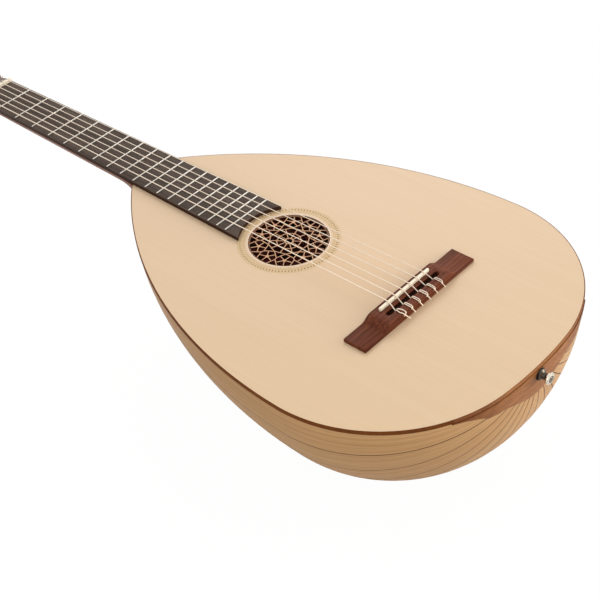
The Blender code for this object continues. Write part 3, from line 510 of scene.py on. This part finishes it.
def look_of(name):
    """The finish whose key is the longest start of the node's name."""
    return LOOKS[max((key for key in LOOKS if name.startswith(key)), key=len)]


BEVELS = {"bridge": 0.5, "nut": 0.3, "fingerboard": 0.3, "head_veneer": 0.3, "end_clasp": 0.25, "tuner_plate": 0.25}
BEVEL_ANGLE = math.radians(40)
SPLIT_ANGLE = math.radians(32)
WELD = 1e-6


def split_edges(obj):
    """Keeps edges sharp where smooth faces meet at more than the split angle."""
    obj.modifiers.new("split", "EDGE_SPLIT").split_angle = SPLIT_ANGLE


def dress(obj):
    """Gives a CAD node its material, with smooth curves between its sharp edges."""
    mesh = obj.data
    mesh.materials.clear()
    mesh.materials.append(look_of(obj.name))
    if "custom_normal" in mesh.attributes:
        mesh.attributes.remove(mesh.attributes["custom_normal"])
    mesh.polygons.foreach_set("use_smooth", [True] * len(mesh.polygons))
    obj.modifiers.new("weld", "WELD").merge_threshold = WELD
    for start, width in BEVELS.items():
        if obj.name.startswith(start):
            bevel = obj.modifiers.new("bevel", "BEVEL")
            bevel.width = width * MM
            bevel.segments = 2
            bevel.limit_method = "ANGLE"
            bevel.angle_limit = BEVEL_ANGLE
    split_edges(obj)


for part in nodes.values():
    dress(part)


def face_outward(mesh):
    """Turns the faces of each closed body outward."""
    work = bmesh.new()
    work.from_mesh(mesh)
    bmesh.ops.recalc_face_normals(work, faces=work.faces)
    work.to_mesh(mesh)
    work.free()


def piece(name, verts, faces, look, slot, smooth=True):
    """A new mesh that rides on the guitar, from points in millimetres from the saddle, with its material; the slot
    argument is not used.
    """
    mesh = bpy.data.meshes.new(name)
    mesh.from_pydata([at(*v) for v in verts], [], faces)
    mesh.materials.append(look)
    face_outward(mesh)
    mesh.polygons.foreach_set("use_smooth", [smooth] * len(mesh.polygons))
    mesh.validate()
    mesh.update()
    obj = bpy.data.objects.new(name, mesh)
    scene.collection.objects.link(obj)
    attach(obj, "guitar")
    return obj


def loft(rings):
    """Verts and faces of a tube through rings of the same count, closed at both ends."""
    count = len(rings[0])
    verts = [p for ring in rings for p in ring]
    faces = []
    for k in range(len(rings) - 1):
        low, high = k * count, (k + 1) * count
        for i in range(count):
            j = (i + 1) % count
            faces.append((low + i, low + j, high + j, high + i))
    faces.append(tuple(range(count))[::-1])
    faces.append(tuple(range(len(verts) - count, len(verts))))
    return verts, faces


def together(parts):
    """The verts and faces of several parts as one mesh."""
    verts, faces = [], []
    for v, f in parts:
        faces += [tuple(i + len(verts) for i in face) for face in f]
        verts += v
    return verts, faces


# The body's outline: three arcs that meet smoothly, as in the solids but in shorter steps
TAIL_Y = -160.0
TAIL_R = 432.5
TAIL_ANGLE = 0.114
SIDE_R = 157.3
SHOULDER_R = 512.5
BODY_END_HALF = 33.2573
BODY_END = 364.8
TAIL_C = np.array([TAIL_Y + TAIL_R, 0.0])
SIDE_C = TAIL_C + (TAIL_R - SIDE_R) * np.array([-math.cos(TAIL_ANGLE), math.sin(TAIL_ANGLE)])


def side_end():
    """The angle at which the side's arc meets the shoulder's, so that the shoulder ends at the neck's edge."""
    grow = SHOULDER_R - SIDE_R
    along, out = BODY_END - SIDE_C[0], BODY_END_HALF - SIDE_C[1]
    away = math.hypot(along, out)
    return math.acos((grow**2 + away**2 - SHOULDER_R**2) / (2 * grow * away)) - math.atan2(out, along)


SIDE_ANGLE = side_end()
SHOULDER_C = SIDE_C + (SIDE_R - SHOULDER_R) * np.array([-math.cos(SIDE_ANGLE), math.sin(SIDE_ANGLE)])
ARC_STEPS = (8, 64, 30)


def outline(inset, start=0.0):
    """(half width, y) points of the inset outline from the tail to the neck, on the treble side."""
    last = math.acos(-(BODY_END - GAP - SHOULDER_C[0]) / (SHOULDER_R - inset))
    points = []
    ends = (start, TAIL_ANGLE, SIDE_ANGLE, last)
    arcs = zip((TAIL_C, SIDE_C, SHOULDER_C), (TAIL_R, SIDE_R, SHOULDER_R), ends, ends[1:], ARC_STEPS)
    for centre, r, low, high, steps in arcs:
        for a in np.linspace(low, high, steps + 1)[1 if points else 0:]:
            points.append((centre[1] + (r - inset) * math.sin(a), centre[0] - (r - inset) * math.cos(a)))
    return points


# The bowl: each rib is a little round across, where the solids are flat
RIB_INSET = 0.6
RIB_THICK = 2.2
RIB_START = 22.0
ACROSS = 5
SEAM_HALF = 0.13
SEAM_INSET = 0.05


def bowl_strip(angles, shifts, insets, flat=False):
    """A strip of the bowl between two angles, each moved by a shift in millimetres along the surface."""
    rings = []
    first = math.asin(RIB_START / TAIL_R)
    for lines in zip(*(outline(inset, first) for inset in insets)):
        ring = []
        for (wide, y), count in zip(lines, (ACROSS, 2)):
            rates = [wide * math.hypot(math.sin(a), BOWL_DEEP * math.cos(a)) for a in angles]
            low, high = (a + shift / rate for a, shift, rate in zip(angles, shifts, rates))
            line = [np.array((-wide * math.cos(a), y, RIB_TOP - BOWL_DEEP * wide * math.sin(a)))
                    for a in np.linspace(low, high, count)]
            if flat:
                line = [line[0] + (line[-1] - line[0]) * share for share in np.linspace(0, 1, count)]
            ring += [tuple(p) for p in (line if count == ACROSS else line[::-1])]
        rings.append(ring)
    return loft(rings)


def add_ribs():
    """The ribs, of which the middle one stays flat because the bowl stands on it."""
    for number in range(RIBS):
        angles = (math.pi * number / RIBS, math.pi * (number + 1) / RIBS)
        shifts = (GAP / 2 if number else 0.0, -GAP / 2 if number < RIBS - 1 else 0.0)
        insets = (RIB_INSET, RIB_INSET + RIB_THICK)
        shape = bowl_strip(angles, shifts, insets, flat=number == RIBS // 2)
        rib = piece(f"round_rib_{number + 1:02d}", *shape, RIB_WOOD, "rib")
        split_edges(rib)
        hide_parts(f"rib_{number + 1:02d}")


def add_rib_seams():
    """Dark glue that fills the joints between the ribs."""
    insets = (RIB_INSET + SEAM_INSET, RIB_INSET + RIB_THICK)
    seams = [bowl_strip((math.pi * k / RIBS,) * 2, (-SEAM_HALF, SEAM_HALF), insets) for k in range(1, RIBS)]
    piece("rib_seams", *together(seams), SEAM_GLUE, "rib")


add_ribs()
add_rib_seams()

# The strip round the top's edge: dark outside and down to DARK_WIDE, then as pale as the top
EDGE_HIGH = 4.0
EDGE_WIDE = 2.0
LEDGE = -2.8
LEDGE_WIDE = 5.5
DARK_WIDE = 1.0
EDGE_PROFILE = [(0.0, -EDGE_HIGH), (0.0, -0.5), (0.15, -0.15), (0.5, 0.0), (DARK_WIDE, 0.0), (EDGE_WIDE, 0.0),
                (EDGE_WIDE, LEDGE), (LEDGE_WIDE, LEDGE), (LEDGE_WIDE, -EDGE_HIGH)]


def add_edge_strip():
    """The strip with its ledge under the top, in the clasp's wood where the clasp meets it at the tail."""
    lines = [(outline(inset), z) for inset, z in EDGE_PROFILE]
    count = len(lines[0][0])
    rings = [[(-line[k][0], line[k][1], z) for line, z in lines] for k in range(count - 1, 0, -1)]
    rings += [[(*line[k], z) for line, z in lines] for k in range(count)]
    strip = piece("edge_strip", *loft(rings), EDGE_WOOD, "edge_binding")
    strip.data.materials.append(SPRUCE)
    strip.data.materials.append(CLASP_WOOD)
    pale_side = EDGE_PROFILE.index((DARK_WIDE, 0.0))
    clasp_end = at(CLASP_HALF, 0, 0)
    for face in strip.data.polygons[:-2]:
        if face.index % len(EDGE_PROFILE) == pale_side:
            face.material_index = 1
        elif face.center.y < clasp_end.y and abs(face.center.x) < clasp_end.x:
            face.material_index = 2
    split_edges(strip)
    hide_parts("edge_binding")


add_edge_strip()

# The top: its hole, the step under the hole's edge and the channel for the ring
TOP_LOW = -2.5
HOLE_R = 43.5
STEP_R = 45.7
STEP_LOW = -1.0
CHANNEL_IN, CHANNEL_OUT = 46.6, 55.3
CHANNEL_LOW = -1.3
TOP_CLEAR = 0.02
TOP_STEPS = [(CHANNEL_OUT, 0.0), (CHANNEL_OUT, CHANNEL_LOW), (CHANNEL_IN, CHANNEL_LOW), (CHANNEL_IN, 0.0),
             (HOLE_R, 0.0), (HOLE_R, STEP_LOW), (STEP_R, STEP_LOW), (STEP_R, TOP_LOW)]


def add_top_board():
    """The top, in spokes from its outline to the hole."""
    edge = outline(EDGE_WIDE + TOP_CLEAR)
    edge = edge + [(-x, y) for x, y in edge[:0:-1]]
    verts, faces = [], []
    for x, y in edge:
        far = math.hypot(x, y - HOLE_Y)
        verts += [(x, y, TOP_LOW), (x, y, 0.0)]
        verts += [(x * r / far, HOLE_Y + (y - HOLE_Y) * r / far, z) for r, z in TOP_STEPS]
    count = len(TOP_STEPS) + 2
    for k in range(len(edge)):
        low, high = k * count, (k + 1) % len(edge) * count
        for i in range(count):
            j = (i + 1) % count
            faces.append((low + i, high + i, high + j, low + j))
    board = piece("top_board", verts, faces, SPRUCE, "soundboard")
    split_edges(board)
    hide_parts("soundboard")


add_top_board()

# Fret wires: round crowns over the plain ones of the solid, with rounded ends
CROWN_HALF = 1.15
CROWN_HIGH = 1.22
CROWN_STEPS = 8
WIRE_INSET = 0.35
WIRE_LOW = BOARD_TOP + 0.03
CROWN_LOW = BOARD_TOP + 0.1
WIRE_SHAPE = ((-1.0, 0.35), (-0.992, 0.8), (-0.982, 1.0), (0.982, 1.0), (0.992, 0.8), (1.0, 0.35))  # along, size


def add_fret_wires():
    """One metal wire over each fret."""
    wires = []
    for number in range(1, FRETS + 1):
        y = STRING_LONG * 2 ** (-number / 12)
        reach = NUT_HALF + (STRING_LONG - y) * BOARD_TAPER - WIRE_INSET
        rings = []
        for x, share in WIRE_SHAPE:
            half, high = CROWN_HALF * share, CROWN_HIGH * share
            ring = [(x * reach, y - half, WIRE_LOW)]
            for a in np.linspace(math.pi, 0, CROWN_STEPS + 1):
                ring.append((x * reach, y + half * math.cos(a), CROWN_LOW + high * math.sin(a)))
            ring.append((x * reach, y + half, WIRE_LOW))
            rings.append(ring)
        wires.append(loft(rings))
    piece("fret_wires", *together(wires), FRET_METAL, "fingerboard")


add_fret_wires()


# Strings: each one line from its cut end, over the tie block twice, through its hole to the roller
def smooth_line(points, steps):
    """A curve through the points, with this many steps to each span."""
    pts = [np.array(p, float) for p in points]
    pts = [2 * pts[0] - pts[1], *pts, 2 * pts[-1] - pts[-2]]
    line = []
    for a, b, c, d in zip(pts, pts[1:], pts[2:], pts[3:]):
        square, cube = 2 * a - 5 * b + 4 * c - d, 3 * b - a - 3 * c + d
        for k in range(steps):
            t = k / steps
            line.append(0.5 * (2 * b + (c - a) * t + square * t**2 + cube * t**3))
    line.append(pts[-2])
    return line


def tube(path, r, sides=10):
    """A round string along a path."""
    path = np.array(path, float)
    step = np.diff(path, axis=0)
    step /= np.linalg.norm(step, axis=1)[:, None]
    along = np.vstack([step[:1], step[:-1] + step[1:], step[-1:]])
    along /= np.linalg.norm(along, axis=1)[:, None]
    side = np.cross(along[0], (0.3, 0.1, 0.9))
    turns = [2 * math.pi * i / sides for i in range(sides)]
    rings = []
    for spot, ahead in zip(path, along):
        side = side - ahead * (side @ ahead)
        side /= np.linalg.norm(side)
        other = np.cross(ahead, side)
        rings.append([tuple(spot + r * (math.cos(a) * side + math.sin(a) * other)) for a in turns])
    return loft(rings)


def tie(x, r, spread):
    """The knot over the tie block, from the string's cut end to the hole at the back."""
    rear = BRIDGE_BACK - r - 0.15
    lid = TIE_BLOCK_TOP + r + 0.1
    front = TROUGH_BACK + r + 0.15
    return [
        (x + 1.5 + 2.7 * spread, rear - 2.8 - 1.8 * spread, TIE_HOLE_Z - 3.1),
        (x + 0.8 + 1.2 * spread, rear - 1.4, TIE_HOLE_Z - 0.2),
        (x + 0.2 + 0.6 * spread, rear - 0.6, TIE_HOLE_Z + 1.5),
        (x - 0.4, rear + 0.8, lid - 0.1),
        (x - 0.3 - 1.2 * spread, rear + 4.4, lid + 0.15),
        (x - 0.5 - 0.2 * spread, front - 1.3, lid + 0.1),
        (x - 0.6, front - 0.1, lid - 1.6),
        (x, front + 0.8, TIE_HOLE_Z - 0.4),
        (x + 0.8, front, lid - 1.5),
        (x + 0.8 + 0.4 * spread, front - 1.2, lid + 0.5),
        (x + 0.9 + 1.5 * spread, front - 5.0, lid + 0.8),
        (x + 1.0 + 2.0 * spread, rear + 0.9, lid + 0.2),
        (x + 0.9 + 1.1 * spread, rear - 0.2, lid - 1.7),
        (x + 0.4, rear - 0.1, TIE_HOLE_Z + 0.4),
    ]


KNOT_SPREAD = (1.0, 0.2, 0.15, 0.25, 0.1, 0.2)  # how loosely each string is tied
KNOT_STEPS = 5
NUT_LONG = 5.0
WIND_AT = (19.5, 18.0, 14.0)  # x where the turns begin
TURN_STEPS = 24  # in one turn
WIND_STEPS = 54
WIND_CLEAR = 0.35  # between neighbouring turns
MIDDLE = 2.5  # between the third and fourth strings, counted from 0


def wound_on(side, number, r):
    """The string's turns on its roller, from the point where it first touches."""
    turn_step = 2 * math.pi / TURN_STEPS
    around = (BARREL_R + GAP + r) / math.cos(turn_step) + 0.05
    c, s = math.cos(HEAD_TILT), math.sin(HEAD_TILT)
    nut_y = (STRING_LONG + NUT_LONG - HEAD_Y) * c - STRING_LOW * s
    nut_z = (STRING_LONG + NUT_LONG - HEAD_Y) * s + STRING_LOW * c
    dy, dz = ROLLERS[number] - nut_y, nut_z - ROLLER_Z
    start = math.pi - math.atan2(dz, dy) - math.acos(around / math.hypot(dy, dz))
    pitch = (2 * r + WIND_CLEAR) * (1 if number == 2 else -1)
    points = []
    for step in range(WIND_STEPS + 1):
        a = start - step * turn_step
        x = WIND_AT[number] + pitch * step / TURN_STEPS
        points.append(head(side * x, ROLLERS[number] + around * math.cos(a), ROLLER_Z + around * math.sin(a)))
    return points


def add_string(index):
    """One string, from the knot at the bridge to its turns on the roller."""
    bass = index < 3
    side, number = (-1, index) if bass else (1, 5 - index)
    r = STRING_WIDE[index] / 2
    place = index - MIDDLE
    hole_x = place * TIE_SPREAD + STRING_SHIFT
    over = place * SADDLE_SPREAD + STRING_SHIFT
    path = smooth_line(tie(hole_x, r, KNOT_SPREAD[index]), KNOT_STEPS)
    path += [(hole_x, BRIDGE_BACK + 1.2, TIE_HOLE_Z), (hole_x, TROUGH_BACK - 0.6, TIE_HOLE_Z)]
    path += [(hole_x, TROUGH_BACK + 0.4, TIE_HOLE_Z + 0.3)]
    path += [(over, y, SADDLE_TOP + up + r) for y, up in ((-1.7, 0.1), (0.0, 0.3), (1.6, 0.22))]
    path += [(place * NUT_SPREAD, STRING_LONG, STRING_LOW + r)]
    path += [(place * NUT_SPREAD, STRING_LONG + NUT_LONG, STRING_LOW + r - 0.1)]
    path += wound_on(side, number, r)
    look, slot = (WOUND, "bass_string") if bass else (NYLON, "treble_string")
    made = piece(f"strung_{index + 1}", *tube(path, r), look, slot)
    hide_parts(f"string_{index + 1}")


for string in range(6):
    add_string(string)


# Flat shapes round the middle of the sound hole, for the ring and the rose
def polar(r, a):
    """The point at a radius and an angle."""
    return np.array((r * math.cos(a), r * math.sin(a)))


def strand(a, b, wide):
    """The plan of a straight strip."""
    along = (b - a) / np.linalg.norm(b - a)
    out = np.array((-along[1], along[0])) * wide / 2
    return [a - out, b - out, b + out, a + out]


def hoop(low, high, sides):
    """The plan of a ring, in four-sided steps."""
    turns = [2 * math.pi * k / sides for k in range(sides + 1)]
    return [[polar(low, a), polar(high, a), polar(high, b), polar(low, b)] for a, b in zip(turns, turns[1:])]


def plate(shapes, low, high):
    """A closed plate whose plan is the union of flat shapes round the middle of the hole."""
    verts, faces = [], []
    for shape in shapes:
        faces.append(tuple(range(len(verts), len(verts) + len(shape))))
        verts += [tuple(float(c) for c in p) for p in shape]
    points, _, cells, _, _, source = delaunay_2d_cdt(verts, [], faces, 0, 1e-4)
    cells = [tuple(c) for c, found in zip(cells, source) if found]
    used = sorted({i for c in cells for i in c})
    index = {i: k for k, i in enumerate(used)}
    cells = [tuple(index[i] for i in c) for c in cells]
    flat = [(points[i][0], points[i][1] + HOLE_Y) for i in used]
    count = len(flat)
    edges = {edge for c in cells for edge in zip(c, c[1:] + c[:1])}
    faces = cells + [tuple(i + count for i in c[::-1]) for c in cells]
    faces += [(j, i, i + count, j + count) for i, j in sorted(edges) if (j, i) not in edges]
    return [(x, y, z) for z in (high, low) for x, y in flat], faces


RING_GLUE = ((46.62, 46.88), (55.02, 55.28))
GLUE_LOW, GLUE_TOP = -0.9, -0.03


def add_ring_seams():
    """A line of pale glue in the joint on each side of the ring."""
    seams = [plate(hoop(low, high, 72), GLUE_LOW, GLUE_TOP) for low, high in RING_GLUE]
    piece("ring_seams", *together(seams), SPRUCE, "rosette_ring", smooth=False)


add_ring_seams()

# The rose: strands in ten equal parts with five-spoked wheels between them, inside a flat rim
STRAND_WIDE = 0.95
ROSE_LOW = -2.4
RIM_TOP = -1.3
RIM_IN = 41.5
RIM_OVERLAP = 0.7
ROSE_OUT = 45.4
WHEEL_TURN = math.radians(-2)
HUB = 4.5
HUB_HALF = 0.7
DECAGON = 13.35
STAR_IN = 21.8
STAR_TIP = 29.5
FORK = 32.7
WHEEL_AT = 32.4
WHEEL_HUB = 2.0
SPOKE = 8.3
FIFTH = math.radians(72)
TENTH = math.radians(36)


def rose_tenth(wheel):
    """The shapes of one tenth of the rose, from its wheel at this angle to the next wheel."""
    axis = wheel + TENTH / 2
    tip, fork, middle = polar(STAR_TIP, axis), polar(FORK, axis), polar(WHEEL_AT, wheel)
    star, next_star = polar(STAR_IN, wheel), polar(STAR_IN, wheel + TENTH)
    lines = [(tip, fork), (tip, star), (tip, next_star), (star, next_star)]
    lines += [(polar(DECAGON, axis), polar(DECAGON, axis + TENTH))]
    lines += [(polar(HUB + 1.0, axis), polar(STAR_IN * math.cos(TENTH / 2), axis))]
    for lean in (-TENTH, TENTH):
        along = FORK * math.cos(lean)
        reach = math.sqrt((RIM_IN + RIM_OVERLAP) ** 2 - FORK**2 + along**2) - along
        lines.append((fork, fork + polar(reach, axis + lean)))
    lines += [(middle, middle + polar(SPOKE, wheel + spoke * FIFTH)) for spoke in range(5)]
    hub = [middle + polar(WHEEL_HUB, k * FIFTH / 2) for k in range(10)]
    return [strand(a, b, STRAND_WIDE) for a, b in lines] + [hub]


def add_rose():
    """The strands and the rim that holds them."""
    shapes = hoop(HUB - HUB_HALF, HUB + HUB_HALF, 20)
    for fold in range(10):
        shapes += rose_tenth(WHEEL_TURN + fold * TENTH)
    rim = plate(hoop(RIM_IN, ROSE_OUT, 60), ROSE_LOW, RIM_TOP)
    shape = together([plate(shapes, ROSE_LOW, STRAND_TOP), rim])
    rose = piece("rose_strands", *shape, ROSE_WOOD, "rose", smooth=False)
    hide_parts("rose")


add_rose()

# The rose's lower layer: a lattice in near-black red, a painted shade of the bowl's dark inside, that shows through
# the openings of the upper one
UNDER_LOW = -5.4
UNDER_TOP = -3.9
UNDER_RIM_TOP = -2.7
UNDER_INNER, UNDER_MIDDLE, UNDER_OUTER = 7.5, 16.5, 42.6
UNDER_LEAN = 0.62
LEANING_WIDE, STRAIGHT_WIDE = 3.4, 3.2


def flat_strip(a, b, wide):
    """A straight strip of the lower layer between two points of the plan."""
    return loft([[(x, y + HOLE_Y, z) for x, y in strand(a, b, wide)] for z in (UNDER_LOW, UNDER_TOP)])


def flat_ring(r, wide, top, sides):
    """A ring of square section in the lower layer."""
    section = ((-wide / 2, UNDER_LOW), (wide / 2, UNDER_LOW), (wide / 2, top), (-wide / 2, top))
    verts, faces = [], []
    for k in range(sides):
        a = 2 * math.pi * k / sides
        verts += [((r + out) * math.cos(a), HOLE_Y + (r + out) * math.sin(a), z) for out, z in section]
        p, q = k * 4, (k + 1) % sides * 4
        faces += [(p + i, q + i, q + (i + 1) % 4, p + (i + 1) % 4) for i in range(4)]
    return verts, faces


def add_under_layer():
    """Three rings with ten straight strips and twenty leaning ones between them."""
    lattice = [flat_ring(UNDER_OUTER, 1.6, UNDER_RIM_TOP, 60), flat_ring(UNDER_MIDDLE, 2.2, UNDER_TOP, 40),
               flat_ring(UNDER_INNER, 2.0, UNDER_TOP, 24)]
    for fold in range(10):
        wheel = WHEEL_TURN + fold * TENTH
        for lean in (-UNDER_LEAN, UNDER_LEAN):
            lattice.append(flat_strip(polar(UNDER_MIDDLE, wheel), polar(UNDER_OUTER, wheel + lean), LEANING_WIDE))
        axis = wheel + TENTH / 2
        lattice.append(flat_strip(polar(UNDER_INNER, axis), polar(UNDER_OUTER, axis), STRAIGHT_WIDE))
    piece("rose_under_layer", *together(lattice), UNDER_LAYER_SHADE, "rose", smooth=False)


add_under_layer()

# Screws that hold the tuner plates to the head, in the head's frame: radius and distance out, then y and z
SCREW_SHAPE = ((1.9, 37.55), (1.9, 37.9), (1.6, 38.25), (0.9, 38.5), (0.45, 38.2))
SCREW_SIDES = 14
SCREW_SPOTS = ((41.0, -5.2), (41.0, -15.8), (62.0, -4.8), (62.0, -16.2), (97.0, -4.8), (97.0, -16.2),
               (129.5, -5.2), (129.5, -15.8))


def screw(side, y, z):
    """A domed head with a small pit, on the outer face of a plate."""
    turns = np.linspace(0, 2 * math.pi, SCREW_SIDES + 1)[:-1]
    return loft([[head(side * out, y + r * math.cos(a), z + r * math.sin(a)) for a in turns]
                 for r, out in SCREW_SHAPE])


def add_screws(side, word):
    """The eight screws of one plate."""
    screws = [screw(side, y, z) for y, z in SCREW_SPOTS]
    piece(f"plate_screws_{word}", *together(screws), STEEL, "tuner_metal")


add_screws(-1, "bass")
add_screws(1, "treble")

# Light: an even pale room with soft lamps, and a floor that shows white with the guitar's faint shadow
LAMPS_AIM = Vector((0.0, -0.25, 0.1))
ROOM_LEVEL = 0.755
FLOOR_HALF = 12.0
FLOOR_Z = -0.0005
FLOOR_GREY = 0.86
FLOOR_GLOW = 1.02
GLOW_SHARE = 0.95


def lamp(name, place, size, power):
    """A round soft lamp at a place in metres, turned to the guitar."""
    data = bpy.data.lights.new(name, "AREA")
    data.shape = "DISK"
    data.size = size
    data.energy = power
    obj = bpy.data.objects.new(name, data)
    obj.location = place
    obj.rotation_euler = (LAMPS_AIM - Vector(place)).to_track_quat("-Z", "Y").to_euler()
    scene.collection.objects.link(obj)


def make_room():
    """A white world, a little dimmer as light than where it is seen straight or in a reflection."""
    world = bpy.data.worlds.new("room")
    scene.world = world
    world.use_nodes = True
    tree = world.node_tree
    background = tree.nodes["Background"]
    ways = tree.nodes.new("ShaderNodeLightPath")
    shown = tree.nodes.new("ShaderNodeMath")
    shown.operation = "MAXIMUM"
    tree.links.new(ways.outputs["Is Camera Ray"], shown.inputs[0])
    tree.links.new(ways.outputs["Is Glossy Ray"], shown.inputs[1])
    level = tree.nodes.new("ShaderNodeMapRange")
    level.inputs["To Min"].default_value = ROOM_LEVEL
    level.inputs["To Max"].default_value = 1.0
    tree.links.new(shown.outputs[0], level.inputs["Value"])
    tree.links.new(level.outputs[0], background.inputs["Strength"])
    background.inputs["Color"].default_value = (1.0, 1.0, 1.0, 1.0)


def floor_look():
    """A pale floor that glows where the camera sees it, and keeps a little of the shadow."""
    look = bpy.data.materials.new("pale_floor")
    look.use_nodes = True
    tree = look.node_tree
    base = tree.nodes["Principled BSDF"]
    base.inputs["Base Color"].default_value = (FLOOR_GREY, FLOOR_GREY, FLOOR_GREY, 1)
    base.inputs["Roughness"].default_value = 0.9
    glow = tree.nodes.new("ShaderNodeEmission")
    glow.inputs["Strength"].default_value = FLOOR_GLOW
    ways = tree.nodes.new("ShaderNodeLightPath")
    share = tree.nodes.new("ShaderNodeMath")
    share.operation = "MULTIPLY"
    share.inputs[1].default_value = GLOW_SHARE
    blend = tree.nodes.new("ShaderNodeMixShader")
    tree.links.new(ways.outputs["Is Camera Ray"], share.inputs[0])
    tree.links.new(share.outputs[0], blend.inputs[0])
    tree.links.new(base.outputs[0], blend.inputs[1])
    tree.links.new(glow.outputs[0], blend.inputs[2])
    tree.links.new(blend.outputs[0], tree.nodes["Material Output"].inputs["Surface"])
    return look


def add_floor():
    """A wide flat floor just under the bowl."""
    mesh = bpy.data.meshes.new("floor")
    corners = [(-1, -1), (1, -1), (1, 1), (-1, 1)]
    mesh.from_pydata([(x * FLOOR_HALF, y * FLOOR_HALF, FLOOR_Z) for x, y in corners], [], [(0, 1, 2, 3)])
    mesh.materials.append(floor_look())
    floor = bpy.data.objects.new("floor", mesh)
    scene.collection.objects.link(floor)


lamp("key", (1.25, 0.65, 1.4), 1.2, 7.5)
lamp("fill", (-1.8, -1.4, 1.2), 1.6, 3.0)
lamp("tail", (1.5, -1.85, 0.25), 1.6, 42.0)
make_room()
add_floor()
